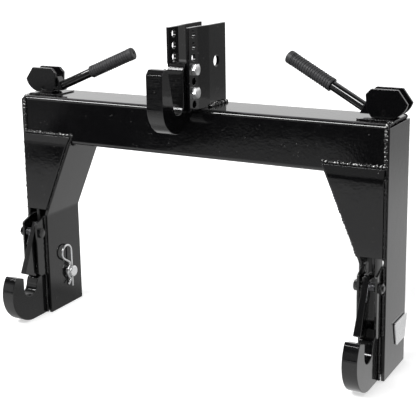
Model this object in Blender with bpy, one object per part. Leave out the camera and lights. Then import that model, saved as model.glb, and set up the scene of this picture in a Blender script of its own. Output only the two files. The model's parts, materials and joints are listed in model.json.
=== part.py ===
"""Three point quick hitch: a welded A-frame with three hooks and two hand levers.

Metres, +Z up, +X to the right of the implement, +Y away from it (towards the tractor).
The frame stands on its two legs. Each lower hook is closed by a spring-loaded latch,
which a rod lifts when the cam lever on top of the crossbeam is turned up.
"""

import math

import bmesh
import bpy
from mathutils import Matrix, Vector

# Gaps between pieces
SEAT_GAP = 0.0003
RUNNING_GAP = 0.0004

# Crossbeam, a square tube
BEAM_DEPTH = 0.099
BEAM_HEIGHT = 0.087
BEAM_WALL = 0.005
BEAM_CORNER_RADIUS = 0.008
UNDER_BEAM_HEIGHT = 0.343

# Legs, each of two plates with the lower link's ball between them
HOOK_SPACING = 0.683
LEG_GAP = 0.0354
LEG_PLATE = 0.006
LEG_FRONT_PROUD = 0.0025
LEG_BACK_SHORT = 0.001
OUTER_PLATE_BELOW_TOP = 0.0055
INNER_PLATE_BEND_HEIGHT = 0.198
INNER_PLATE_TOP_SHIFT = 0.0623

# Gussets over the front of the corners
GUSSET_PLATE = 0.006
GUSSET_BAND = 0.018
GUSSET_BAND_LEAN = 0.0025
GUSSET_ABOVE_EARS = 0.0135
GUSSET_BEND_BELOW_BEAM = 0.0025
GUSSET_EDGE_INSET = 0.0055
GUSSET_FOOT_INSET = 0.004
GUSSET_BAND_FLARE = 0.009

# Lower hooks
HOOK_THICKNESS = 0.026
JAW_RADIUS = 0.0185
JAW_FORWARD = 0.050
JAW_HEIGHT = 0.068
HOOK_OUTER_RADIUS = 0.060
HOOK_ARC_FORWARD = 0.043
HOOK_TINE_FRONT_HEIGHT = 0.097
HOOK_TINE_BACK_HEIGHT = 0.0895
HOOK_TINE_CHAMFER = 0.004
HOOK_MOUTH_FLARE = 0.0045
HOOK_MOUTH_FLARE_HEIGHT = 0.078
HOOK_SHOULDER_FORWARD = 0.020
HOOK_TAIL_LENGTH = 0.016

# Latch and the ears that carry it
LATCH_PIVOT_FORWARD = 0.0195
LATCH_PIVOT_HEIGHT = 0.167
LATCH_LEAN = math.radians(24.2)
LATCH_FACE_OFFSET = 0.0079
LATCH_FACE_BELOW = 0.0823
LATCH_FACE_ABOVE = 0.0190
LATCH_FOOT = 0.0335
LATCH_BOSS_RADIUS = 0.010
LATCH_WIDTH_FOOT = 0.0134
LATCH_WIDTH_TOP = 0.0086
LATCH_INBOARD = 0.0045
LATCH_ARM_THICKNESS = 0.0045
LATCH_ARM_INBOARD = 0.0035
LATCH_ARM_BACK = 0.020
LATCH_ARM_UP = 0.008
LATCH_ARM_HALF_HEIGHT = 0.0075
LATCH_SWEEP_CLEARANCE = 0.001
LATCH_OPEN_ANGLE = math.radians(25.0)
EAR_FRONT = 0.0285
EAR_FRONT_ABOVE_PIVOT = 0.020
EAR_BACK_ABOVE_PIVOT = 0.031
EAR_CORNER = 0.0065
EAR_TAIL_FOOT = 0.010
BOLT_RADIUS = 0.005
BOLT_HEAD_ACROSS = 0.016
BOLT_HEAD_HEIGHT = 0.0062
BOLT_TAIL = 0.002
SPRING_WIRE = 0.0018
SPRING_TURNS = 4.5
SPRING_LEG = 0.026

# Release rod
ROD_RADIUS = 0.0025
ROD_LOW_BEND = 0.387
ROD_HIGH_BEND = 0.8155
ROD_BEND_RADIUS = 0.016
ROD_HOOK_RADIUS = 0.005
ROD_FOOT_PROUD = 0.002
ROD_HOLE_CLEARANCE = 0.0035
ROD_EYE_RADIUS = 0.0070
ROD_EYE_WIDTH = 0.016

# Cam lever
PAD_THICKNESS = 0.002
PAD_INBOARD = 0.0415
PAD_OUTBOARD = 0.0225
PAD_HALF_DEPTH = 0.030
CAM_PLATE = 0.0055
CAM_PLATE_GAP = 0.020
CAM_RADIUS = 0.0324
CAM_CENTRE_OUT = 0.008
CAM_CENTRE_UP = 0.0234
CAM_NOSE_ANGLE = math.radians(-14.0)
CAM_TOP_ABOVE_PIN = 0.0378
CAM_TOP_OUT = 0.0231
CAM_TOP_IN = 0.022
CAM_SHOULDER_IN = 0.0311
CAM_SHOULDER_UP = 0.0284
CAM_HEEL_IN = 0.029
CAM_HEEL_UP = 0.0034
CAM_FLAT_IN = 0.0208
LEVER_PIN_RADIUS = 0.003
LEVER_PIN_BORE = 0.0014
LEVER_PIN_PROUD = 0.0008
HUB_IN = 0.0105
HUB_BOTTOM = 0.0045
HUB_TOP = 0.022
SHAFT_RADIUS = 0.0085
SHAFT_SLOPE = {-1: math.radians(23.5), 1: math.radians(26.9)}
SHAFT_BACKWARD = math.radians(8.3)
SHAFT_FOOT_IN = 0.0373
SHAFT_FOOT_UP = 0.0048
GRIP_WALL = 0.0030
GRIP_LENGTH = 0.096
GRIP_START = 0.068
GRIP_RIB_PITCH = 0.0052
GRIP_RIB_HEIGHT = 0.0008
GRIP_CAP_LENGTH = 0.010
GRIP_END_HOLE = 0.0022

# Lower link pins
PIN_RADIUS = 0.0111
PIN_BEHIND = 0.0592
PIN_HEIGHT = 0.0684
PIN_INNER_PROUD = 0.0125
PIN_FLAG_STANDOFF = 0.0006
PIN_CHAMFER = 0.0015
FLAG_PLATE = 0.0035
FLAG_TOP_WIDTH = 0.062
FLAG_BOTTOM_WIDTH = 0.042
FLAG_BELOW_PIN = 0.0224
FLAG_ABOVE_PIN = 0.0185
FLAG_BACKWARD = 0.0085
CLIP_WIRE = 0.004
CLIP_LOOP_RADIUS = 0.0145
CLIP_ABOVE_PIN = 0.043
CLIP_BELOW_PIN = 0.031
CLIP_WAIST_ABOVE_PIN = 0.019
CLIP_WAIST_BELOW_PIN = 0.0165
CLIP_END_OUT = 0.013
CLIP_END_BELOW_PIN = 0.025
CLIP_BEND_RADIUS = 0.004

# Mast, two joggled plates
MAST_PLATE = 0.006
MAST_ABOVE_HOOK_BOLT = 0.1115
MAST_FORWARD = 0.030
MAST_BACK_SHORT = 0.0075
MAST_JOGGLE_LENGTH = 0.032
MAST_BACK_GAP = 0.0415
MAST_HOLE_PITCH = 0.020
MAST_HOLE_EDGE = 0.011
MAST_HOLE_FORWARD = 0.0145
MAST_HOLE_RADIUS = 0.0065
TOP_LINK_HOLE_RADIUS = 0.0099
TOP_LINK_HOLE_BACK = 0.057
TOP_LINK_HOLE_UP = 0.078

# Top hook, bolted between the mast plates
TOP_HOOK_THICKNESS = 0.031
TOP_HOOK_SIDE_GAP = 0.0005
SEAT_RISE = 0.380
TOP_JAW_RADIUS = 0.0155
TOP_JAW_FORWARD = 0.057
TOP_HOOK_OUTER_RADIUS = 0.0505
TOP_HOOK_ARC_FORWARD = 0.058
TOP_HOOK_ARC_RISE = 0.002
TOP_HOOK_STEP_DROP = 0.014
TOP_TINE_ABOVE_JAW = 0.065
TOP_TINE_LIP = 0.012
TOP_TINE_CHAMFER_DROP = 0.008
TOP_BOLT_ABOVE_JAW = 0.016
TOP_SHANK_ABOVE_BOLT = 0.014
TOP_SHANK_CORNER = 0.020
TOP_SHANK_BEHIND = 0.002
TOP_SHANK_OVER_BEAM = 0.003
HOOK_BOLT_RADIUS = 0.006
HOOK_BOLT_ACROSS = 0.0185
HOOK_BOLT_HEAD = 0.0075
HOOK_BOLT_TAIL = 0.004
HOOK_BOLT_HOLES = (0, 2)

# Edges
PLATE_EDGE = 0.0007
FORGED_EDGE = 0.0012
ARC_STEP = math.radians(9.0)
SIDES = 20

# Places worked out from the sizes
BEAM_FRONT = (TOP_HOOK_ARC_FORWARD + TOP_HOOK_OUTER_RADIUS - BEAM_DEPTH) / 2
BEAM_BACK = BEAM_FRONT + BEAM_DEPTH
BEAM_MIDDLE = BEAM_FRONT + BEAM_DEPTH / 2
BEAM_BOTTOM = UNDER_BEAM_HEIGHT
BEAM_TOP = BEAM_BOTTOM + BEAM_HEIGHT
HOOK_X = HOOK_SPACING / 2
GAP_IN_X = HOOK_X - LEG_GAP / 2
GAP_OUT_X = HOOK_X + LEG_GAP / 2
INNER_FACE_X = GAP_IN_X - LEG_PLATE
OUTER_FACE_X = GAP_OUT_X + LEG_PLATE
LEG_FRONT = BEAM_FRONT - LEG_FRONT_PROUD
LEG_BACK = BEAM_BACK - LEG_BACK_SHORT
JAW_Y = BEAM_FRONT - JAW_FORWARD
HOOK_TAIL_Y = BEAM_FRONT + HOOK_TAIL_LENGTH
LATCH_Y = BEAM_FRONT - LATCH_PIVOT_FORWARD
LATCH_Z = LATCH_PIVOT_HEIGHT
LATCH_X = HOOK_X - LATCH_INBOARD
EAR_THICKNESS = (LEG_GAP - HOOK_THICKNESS) / 2 - 2 * SEAT_GAP
ROD_LOW_Y = LATCH_Y + LATCH_ARM_BACK
ROD_LOW_Z = LATCH_Z + LATCH_ARM_UP
EAR_TOP = LATCH_Z + EAR_BACK_ABOVE_PIVOT
PAD_TOP = BEAM_TOP + SEAT_GAP + PAD_THICKNESS
LEVER_PIN_Z = PAD_TOP + SEAT_GAP + CAM_RADIUS - CAM_CENTRE_UP
PIN_Y = BEAM_FRONT + PIN_BEHIND
MAST_FRONT_IN_X = TOP_HOOK_THICKNESS / 2 + TOP_HOOK_SIDE_GAP
MAST_BACK_IN_X = MAST_BACK_GAP / 2
MAST_FOOT = BEAM_TOP + SEAT_GAP
MAST_HOLE_Y = BEAM_FRONT - MAST_HOLE_FORWARD
TOP_JAW_Y = BEAM_FRONT - TOP_JAW_FORWARD
TOP_JAW_Z = JAW_HEIGHT - JAW_RADIUS + SEAT_RISE + TOP_JAW_RADIUS
HOOK_BOLT_Z = max(TOP_JAW_Z + TOP_BOLT_ABOVE_JAW, BEAM_TOP + MAST_HOLE_EDGE)
MAST_TOP = HOOK_BOLT_Z + MAST_ABOVE_HOOK_BOLT


def mast_hole_height(index):
    """Height of a hole in the mast's row, counted from the hook's lower bolt."""
    return HOOK_BOLT_Z + index * MAST_HOLE_PITCH


def clear_scene():
    for item in list(bpy.data.objects):
        bpy.data.objects.remove(item, do_unlink=True)


def material(name, colour, roughness, metallic):
    """A plain surface with one colour."""
    made = bpy.data.materials.get(name) or bpy.data.materials.new(name)
    made.use_nodes = True
    shader = made.node_tree.nodes["Principled BSDF"]
    shader.inputs["Base Color"].default_value = (*colour, 1.0)
    shader.inputs["Roughness"].default_value = roughness
    shader.inputs["Metallic"].default_value = metallic
    return made


def black_paint():
    return material("black_paint", (0.012, 0.012, 0.013), 0.22, 0.0)


def zinc():
    return material("zinc_plate", (0.72, 0.73, 0.74), 0.3, 1.0)


def spring_steel():
    return material("spring_steel", (0.30, 0.30, 0.31), 0.35, 1.0)


def grip_rubber():
    return material("grip_rubber", (0.045, 0.045, 0.047), 0.75, 0.0)


def arc(centre, radius, start, end, step=ARC_STEP):
    """Points along an arc in a plane, both ends included."""
    count = max(2, math.ceil(abs(end - start) / step))
    return [
        (centre[0] + radius * math.cos(start + (end - start) * i / count),
         centre[1] + radius * math.sin(start + (end - start) * i / count))
        for i in range(count + 1)
    ]


def tangent_angle(centre, radius, point, side):
    """Angle on a circle where a line from the point touches it."""
    across, up = point[0] - centre[0], point[1] - centre[1]
    return math.atan2(up, across) + side * math.acos(radius / math.hypot(across, up))


def offset_line(points, distance):
    """A polyline moved sideways by the distance, its corners mitred."""
    directions = []
    for (x0, y0), (x1, y1) in zip(points, points[1:]):
        length = math.hypot(x1 - x0, y1 - y0)
        directions.append(((x1 - x0) / length, (y1 - y0) / length))
    moved = []
    for index, (x, y) in enumerate(points):
        before = directions[max(0, index - 1)]
        after = directions[min(index, len(directions) - 1)]
        normal = Vector((before[1] + after[1], -before[0] - after[0])).normalized()
        reach = distance / max(0.2, normal.x * after[1] - normal.y * after[0])
        moved.append((x + normal.x * reach, y + normal.y * reach))
    return moved


def prism(outline, axis, low, high):
    """A solid between two parallel copies of an outline.

    The outline holds (y, z) for axis X, (x, z) for axis Y and (x, y) for axis Z.
    """
    place = {
        "X": lambda a, b, c: (c, a, b),
        "Y": lambda a, b, c: (a, c, b),
        "Z": lambda a, b, c: (a, b, c),
    }[axis]
    shape = bmesh.new()
    lower = [shape.verts.new(place(a, b, low)) for a, b in outline]
    upper = [shape.verts.new(place(a, b, high)) for a, b in outline]
    shape.faces.new(lower)
    shape.faces.new(upper)
    for index in range(len(outline)):
        after = (index + 1) % len(outline)
        shape.faces.new((lower[index], lower[after], upper[after], upper[index]))
    bmesh.ops.recalc_face_normals(shape, faces=shape.faces[:])
    return shape


def rings(loops, closed=False):
    """A skin over a row of point loops, with flat ends unless the row is closed."""
    shape = bmesh.new()
    made = [[shape.verts.new(point) for point in loop] for loop in loops]
    count = len(made[0])
    pairs = list(zip(made, made[1:]))
    if closed:
        pairs.append((made[-1], made[0]))
    else:
        shape.faces.new(made[0])
        shape.faces.new(made[-1])
    for first, second in pairs:
        for index in range(count):
            after = (index + 1) % count
            shape.faces.new((first[index], first[after], second[after], second[index]))
    bmesh.ops.recalc_face_normals(shape, faces=shape.faces[:])
    return shape


def turned(profile, sides=SIDES, closed=False):
    """A solid turned about the X axis from (along, radius) points."""
    loops = []
    for along, radius in profile:
        loops.append([
            (along, radius * math.cos(math.tau * i / sides), radius * math.sin(math.tau * i / sides))
            for i in range(sides)
        ])
    return rings(loops, closed)


def sweep(path, radius, sides=8):
    """A round wire along a path of points."""
    points = [Vector(point) for point in path]
    directions = []
    for index in range(len(points)):
        before = points[max(0, index - 1)]
        after = points[min(len(points) - 1, index + 1)]
        directions.append((after - before).normalized())
    side = directions[0].orthogonal().normalized()
    loops = []
    for point, direction in zip(points, directions):
        side = (side - direction * side.dot(direction)).normalized()
        other = direction.cross(side)
        loops.append([
            point + radius * (side * math.cos(math.tau * i / sides) + other * math.sin(math.tau * i / sides))
            for i in range(sides)
        ])
    return rings(loops)


def rounded_path(corners, radii, steps=5):
    """A path through straight runs whose corners are rounded."""
    points = [Vector(corners[0])]
    for index in range(1, len(corners) - 1):
        corner = Vector(corners[index])
        back = (Vector(corners[index - 1]) - corner).normalized()
        onward = (Vector(corners[index + 1]) - corner).normalized()
        half = math.acos(max(-1.0, min(1.0, back.dot(onward)))) / 2
        radius = radii[index - 1]
        centre = corner + (back + onward).normalized() * (radius / math.sin(half))
        reach = radius / math.tan(half)
        start = corner + back * reach - centre
        end = corner + onward * reach - centre
        for step in range(steps + 1):
            points.append(centre + start.slerp(end, step / steps).normalized() * radius)
    points.append(Vector(corners[-1]))
    return points


def hexagon(across, centre=(0.0, 0.0)):
    radius = across / math.sqrt(3)
    return [
        (centre[0] + radius * math.cos(math.tau * i / 6), centre[1] + radius * math.sin(math.tau * i / 6))
        for i in range(6)
    ]


def circle(radius, centre=(0.0, 0.0), sides=SIDES):
    return [
        (centre[0] + radius * math.cos(math.tau * i / sides), centre[1] + radius * math.sin(math.tau * i / sides))
        for i in range(sides)
    ]


def rectangle(low, high):
    return [(low[0], low[1]), (high[0], low[1]), (high[0], high[1]), (low[0], high[1])]


def rounded_rectangle(low, high, radius):
    corners = (
        ((high[0] - radius, high[1] - radius), 0.0),
        ((low[0] + radius, high[1] - radius), 0.5),
        ((low[0] + radius, low[1] + radius), 1.0),
        ((high[0] - radius, low[1] + radius), 1.5),
    )
    outline = []
    for centre, quarter in corners:
        outline += arc(centre, radius, quarter * math.pi, (quarter + 0.5) * math.pi, math.radians(22.5))
    return outline


def add(name, shape, finish, holder=None, smooth=True):
    """Make the named object; its origin is its holder's place."""
    if holder:
        bmesh.ops.translate(shape, verts=shape.verts[:], vec=-holder.location)
    mesh = bpy.data.meshes.new(name)
    shape.to_mesh(mesh)
    shape.free()
    if smooth:
        mesh.shade_smooth()
        mesh.set_sharp_from_angle(angle=math.radians(30))
    made = bpy.data.objects.new(name, mesh)
    made.data.materials.append(finish)
    bpy.context.collection.objects.link(made)
    made.parent = holder
    return made


def axis_empty(name, place):
    """An empty on a joint's axis, which carries the pieces that turn about it."""
    made = bpy.data.objects.new(name, None)
    made.location = place
    made.empty_display_size = 0.02
    bpy.context.collection.objects.link(made)
    return made


def hide(tool):
    tool.hide_render = True
    tool.display_type = "WIRE"


def combine(target, name, shape, operation):
    """Cut a shape from an object, or join it on, by a Boolean that stays live."""
    tool = add(name, shape, target.data.materials[0], target.parent, smooth=False)
    hide(tool)
    modifier = target.modifiers.new(name, "BOOLEAN")
    modifier.operation = operation
    modifier.solver = "EXACT"
    modifier.object = tool


def cut(target, name, shape):
    combine(target, name, shape, "DIFFERENCE")


def join(target, name, shape):
    combine(target, name, shape, "UNION")


def soften(target, width, segments=1):
    """Break the edges of a piece."""
    modifier = target.modifiers.new("edges", "BEVEL")
    modifier.width = width
    modifier.segments = segments
    modifier.limit_method = "ANGLE"
    modifier.angle_limit = math.radians(35)


def side_name(side):
    return "left" if side < 0 else "right"


def across(side, near, far):
    """Lowest and highest X of a piece between two distances from the middle."""
    return min(side * near, side * far), max(side * near, side * far)


def rod_hole():
    return circle(ROD_RADIUS + ROD_HOLE_CLEARANCE, sides=16)


def make_crossbeam():
    """Square tube between the outer leg plates, with holes where the rods pass."""
    half = GAP_OUT_X - SEAT_GAP
    outline = rounded_rectangle((BEAM_FRONT, BEAM_BOTTOM), (BEAM_BACK, BEAM_TOP), BEAM_CORNER_RADIUS)
    beam = add("crossbeam", prism(outline, "X", -half, half), black_paint())
    inside = rounded_rectangle(
        (BEAM_FRONT + BEAM_WALL, BEAM_BOTTOM + BEAM_WALL),
        (BEAM_BACK - BEAM_WALL, BEAM_TOP - BEAM_WALL),
        max(0.001, BEAM_CORNER_RADIUS - BEAM_WALL))
    cut(beam, "beam_hollow", prism(inside, "X", -half - LEG_PLATE, half + LEG_PLATE))
    for side in (-1, 1):
        outline = [(side * HOOK_X + x, BEAM_MIDDLE + y) for x, y in rod_hole()]
        hole = prism(outline, "Z", BEAM_BOTTOM - BEAM_WALL, BEAM_TOP + BEAM_WALL)
        cut(beam, f"beam_{side_name(side)}_rod_hole", hole)


def cut_pin_hole(plate, side):
    low, high = across(side, INNER_FACE_X - LEG_PLATE, OUTER_FACE_X + LEG_PLATE)
    hole = prism(circle(PIN_RADIUS + RUNNING_GAP, (PIN_Y, PIN_HEIGHT), 24), "X", low, high)
    cut(plate, f"{plate.name}_pin_hole", hole)


def make_leg_plates(side):
    name = side_name(side)
    outline = rectangle((LEG_FRONT, 0.0), (LEG_BACK, BEAM_TOP - OUTER_PLATE_BELOW_TOP))
    outer = add(f"{name}_outer_plate", prism(outline, "X", *across(side, GAP_OUT_X, OUTER_FACE_X)), black_paint())
    soften(outer, PLATE_EDGE)
    cut_pin_hole(outer, side)
    top = BEAM_BOTTOM - SEAT_GAP
    face = [(INNER_FACE_X, 0.0), (INNER_FACE_X, INNER_PLATE_BEND_HEIGHT),
            (INNER_FACE_X - INNER_PLATE_TOP_SHIFT, top)]
    back = offset_line(face, LEG_PLATE)
    rise = (back[1][1] - back[2][1]) / (back[1][0] - back[2][0])
    back[2] = (back[1][0] + (top - back[1][1]) / rise, top)
    outline = [(side * x, z) for x, z in face + back[::-1]]
    inner = add(f"{name}_inner_plate", prism(outline, "Y", LEG_FRONT, LEG_BACK), black_paint())
    soften(inner, PLATE_EDGE)
    cut_pin_hole(inner, side)


def inner_plate_face(height):
    """X of the inner plate's inner face above its bend."""
    share = (height - INNER_PLATE_BEND_HEIGHT) / (BEAM_BOTTOM - INNER_PLATE_BEND_HEIGHT)
    return INNER_FACE_X - INNER_PLATE_TOP_SHIFT * share


def make_gusset(side):
    """Plate over the corner's front: flat on the legs, leaning back to the beam's face."""
    bend = BEAM_BOTTOM - GUSSET_BEND_BELOW_BEAM
    foot = EAR_TOP + GUSSET_ABOVE_EARS
    outer = GAP_OUT_X - SEAT_GAP
    leg_y = LEG_FRONT - SEAT_GAP
    rows = (
        (foot, leg_y, inner_plate_face(foot) + GUSSET_FOOT_INSET),
        (bend, leg_y, inner_plate_face(bend) + GUSSET_EDGE_INSET),
        (bend + GUSSET_BAND, leg_y + GUSSET_BAND_LEAN, inner_plate_face(bend) + GUSSET_EDGE_INSET - GUSSET_BAND_FLARE),
    )
    loops = []
    for height, back, inner in rows:
        loops.append([
            (side * inner, back - GUSSET_PLATE, height),
            (side * outer, back - GUSSET_PLATE, height),
            (side * outer, back, height),
            (side * inner, back, height),
        ])
    gusset = add(f"{side_name(side)}_gusset", rings(loops), black_paint())
    soften(gusset, PLATE_EDGE)


def latch_points():
    """Corners of the latch's working face and foot, relative to its pivot."""
    down = Vector((-math.sin(LATCH_LEAN), -math.cos(LATCH_LEAN)))
    back = Vector((math.cos(LATCH_LEAN), -math.sin(LATCH_LEAN)))
    middle = -back * LATCH_FACE_OFFSET
    toe = middle + down * LATCH_FACE_BELOW
    heel = toe + back * LATCH_FOOT
    head = middle - down * LATCH_FACE_ABOVE
    return toe, heel, head


def hook_shoulder_height():
    """Top of the hook behind its jaw, just below the circle that the latch's heel sweeps."""
    heel = latch_points()[1]
    return LATCH_Z - heel.length - LATCH_SWEEP_CLEARANCE


def make_lower_hook(side):
    """Flame-cut hook whose tail runs back between the leg plates."""
    arc_y = BEAM_FRONT - HOOK_ARC_FORWARD
    front_z = HOOK_TINE_FRONT_HEIGHT - HOOK_TINE_CHAMFER
    rise = math.asin((front_z - HOOK_OUTER_RADIUS) / HOOK_OUTER_RADIUS)
    outline = arc((arc_y, HOOK_OUTER_RADIUS), HOOK_OUTER_RADIUS, math.pi - rise, 1.5 * math.pi)
    tip_y = outline[0][0] + HOOK_TINE_CHAMFER
    shoulder = hook_shoulder_height()
    wall_y = JAW_Y + JAW_RADIUS
    outline += [
        (HOOK_TAIL_Y, 0.0),
        (HOOK_TAIL_Y, shoulder),
        (BEAM_FRONT - HOOK_SHOULDER_FORWARD, shoulder),
        (wall_y + HOOK_MOUTH_FLARE, min(HOOK_MOUTH_FLARE_HEIGHT, shoulder - SEAT_GAP)),
    ]
    outline += arc((JAW_Y, JAW_HEIGHT), JAW_RADIUS, 0.0, -math.pi)
    outline += [
        (JAW_Y - JAW_RADIUS, HOOK_TINE_BACK_HEIGHT),
        (tip_y, HOOK_TINE_FRONT_HEIGHT),
    ]
    half = HOOK_THICKNESS / 2
    low, high = across(side, HOOK_X - half, HOOK_X + half)
    hook = add(f"{side_name(side)}_lower_hook", prism(outline, "X", low, high), black_paint())
    soften(hook, FORGED_EDGE)


def make_latch_ears(side):
    """Two plates beside the hook that carry the latch and hold the hook's tail."""
    front = BEAM_FRONT - EAR_FRONT
    foot = hook_shoulder_height() + LATCH_SWEEP_CLEARANCE
    outline = [
        (front, LATCH_Z + EAR_FRONT_ABOVE_PIVOT),
        (front, foot + EAR_CORNER),
        (front + EAR_CORNER, foot),
        (BEAM_FRONT, foot),
        (BEAM_FRONT, EAR_TAIL_FOOT),
        (HOOK_TAIL_Y, EAR_TAIL_FOOT),
        (HOOK_TAIL_Y, EAR_TOP),
        (BEAM_FRONT, EAR_TOP),
    ]
    for place, direction in (("inner", -1), ("outer", 1)):
        near = HOOK_X + direction * (LEG_GAP / 2 - SEAT_GAP)
        far = near - direction * EAR_THICKNESS
        ear = add(f"{side_name(side)}_latch_ear_{place}",
                  prism(outline, "X", *across(side, near, far)), black_paint())
        soften(ear, PLATE_EDGE)
        low, high = across(side, HOOK_X - LEG_GAP, HOOK_X + LEG_GAP)
        bore = prism(circle(BOLT_RADIUS + SEAT_GAP, (LATCH_Y, LATCH_Z), 16), "X", low, high)
        cut(ear, f"{ear.name}_bore", bore)


def latch_half_width(height):
    """Half of the latch's width, which narrows from its foot to its head."""
    toe, heel, head = latch_points()
    share = (height - heel.y) / (head.y - heel.y)
    share = max(0.0, min(1.0, share))
    return (LATCH_WIDTH_FOOT + (LATCH_WIDTH_TOP - LATCH_WIDTH_FOOT) * share) / 2


def make_latch(side, pivot):
    """Bell crank: a wedge that closes the jaw, and a slotted arm that the rod lifts."""
    toe, heel, head = latch_points()
    boss = LATCH_BOSS_RADIUS
    leave = tangent_angle((0.0, 0.0), boss, tuple(heel), 1)
    outline = [tuple(toe), tuple(heel)]
    outline += arc((0.0, 0.0), boss, leave, math.pi / 3, math.radians(18))
    outline += [(head.x + boss / 2, head.y), tuple(head)]
    body = prism([(LATCH_Y + y, LATCH_Z + z) for y, z in outline], "X", -0.5, 0.5)
    for vertex in body.verts:
        half = latch_half_width(vertex.co.z - LATCH_Z)
        vertex.co.x = side * LATCH_X + math.copysign(half, vertex.co.x)
    latch = add(f"{side_name(side)}_latch", body, black_paint(), pivot)
    soften(latch, FORGED_EDGE)
    travel = slot_travel()
    half = LATCH_ARM_HALF_HEIGHT
    centre = (LATCH_ARM_BACK + travel, LATCH_ARM_UP)
    arm = [(-boss / 2, LATCH_ARM_UP - half)]
    arm += arc(centre, half, -math.pi / 2, math.pi / 2, math.radians(22.5))
    arm += [(-boss / 2, LATCH_ARM_UP + half)]
    arm_x = LATCH_X - LATCH_ARM_INBOARD
    low, high = across(side, arm_x - LATCH_ARM_THICKNESS / 2, arm_x + LATCH_ARM_THICKNESS / 2)
    join(latch, f"{latch.name}_arm", prism([(LATCH_Y + y, LATCH_Z + z) for y, z in arm], "X", low, high))
    slot_radius = ROD_RADIUS + 2 * RUNNING_GAP
    slot = arc(centre, slot_radius, -math.pi / 2, math.pi / 2, math.radians(22.5))
    slot += arc((LATCH_ARM_BACK, LATCH_ARM_UP), slot_radius, math.pi / 2, 1.5 * math.pi, math.radians(22.5))
    low, high = across(side, LATCH_X - LATCH_WIDTH_FOOT, LATCH_X + LATCH_WIDTH_FOOT)
    cut(latch, f"{latch.name}_slot", prism([(LATCH_Y + y, LATCH_Z + z) for y, z in slot], "X", low, high))
    bore = prism(circle(BOLT_RADIUS + RUNNING_GAP, (LATCH_Y, LATCH_Z), 16), "X", low, high)
    cut(latch, f"{latch.name}_bore", bore)


def slot_travel():
    """How far the rod's end runs along the arm's slot while the latch opens."""
    turn = LATCH_OPEN_ANGLE
    rise = (LATCH_ARM_UP + LATCH_ARM_BACK * math.sin(turn)) / math.cos(turn)
    return LATCH_ARM_BACK * math.cos(turn) + rise * math.sin(turn) - LATCH_ARM_BACK


def make_hex_bolt(name, place, reach, radius, across_flats, head_height, side, material):
    """Hexagon bolt along X: its head starts at the first place and its shank ends at the reach."""
    y, z = place[1], place[2]
    low, high = sorted((place[0], place[0] + side * head_height))
    bolt = add(name, prism(hexagon(across_flats, (y, z)), "X", low, high), material)
    soften(bolt, PLATE_EDGE)
    start, end = sorted((place[0] + side * head_height / 2, reach))
    join(bolt, f"{name}_shank", prism(circle(radius, (y, z), 16), "X", start, end))
    return bolt


def make_nut(name, place, radius, across_flats, height, side, material):
    """Hexagon nut along X, from its seat outwards."""
    y, z = place[1], place[2]
    low, high = sorted((place[0], place[0] + side * height))
    nut = add(name, prism(hexagon(across_flats, (y, z)), "X", low, high), material)
    soften(nut, PLATE_EDGE)
    cut(nut, f"{name}_bore", prism(circle(radius + SEAT_GAP, (y, z), 16), "X", low - height, high + height))


def make_latch_bolt(side):
    name = side_name(side)
    outside = LEG_GAP / 2
    tail = BOLT_HEAD_HEIGHT + 2 * SEAT_GAP + BOLT_TAIL
    seat = (side * (HOOK_X - outside), LATCH_Y, LATCH_Z)
    make_hex_bolt(f"{name}_latch_bolt", seat, side * (HOOK_X + outside + tail), BOLT_RADIUS,
                  BOLT_HEAD_ACROSS, BOLT_HEAD_HEIGHT, -side, black_paint())
    seat = (side * (HOOK_X + outside), LATCH_Y, LATCH_Z)
    make_nut(f"{name}_latch_nut", seat, BOLT_RADIUS, BOLT_HEAD_ACROSS, BOLT_HEAD_HEIGHT, side,
             black_paint())


def make_latch_spring(side):
    """Torsion spring on the bolt, between the latch and the outer ear."""
    radius = BOLT_RADIUS + 2 * RUNNING_GAP + SPRING_WIRE / 2
    start = LATCH_X + latch_half_width(0.0) + SPRING_WIRE / 2 + 2 * SEAT_GAP
    end = HOOK_X + HOOK_THICKNESS / 2 + SEAT_GAP - SPRING_WIRE / 2 - 2 * SEAT_GAP
    steps = round(SPRING_TURNS * 12)
    path = [(start, -SPRING_LEG, -radius), (start, -SPRING_LEG / 2, -radius)]
    for step in range(steps + 1):
        turn = -math.pi / 2 + math.tau * SPRING_TURNS * step / steps
        path.append((start + (end - start) * step / steps, radius * math.cos(turn), radius * math.sin(turn)))
    path += [(end, -SPRING_LEG / 2, radius), (end, -SPRING_LEG, radius)]
    down = math.pi / 2 - LATCH_LEAN
    turned_path = []
    for x, y, z in path:
        turned_path.append((side * x,
                            LATCH_Y + y * math.cos(down) + z * math.sin(down),
                            LATCH_Z + y * math.sin(down) - z * math.cos(down)))
    add(f"{side_name(side)}_latch_spring", sweep(turned_path, SPRING_WIRE / 2, 6), spring_steel())


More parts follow.
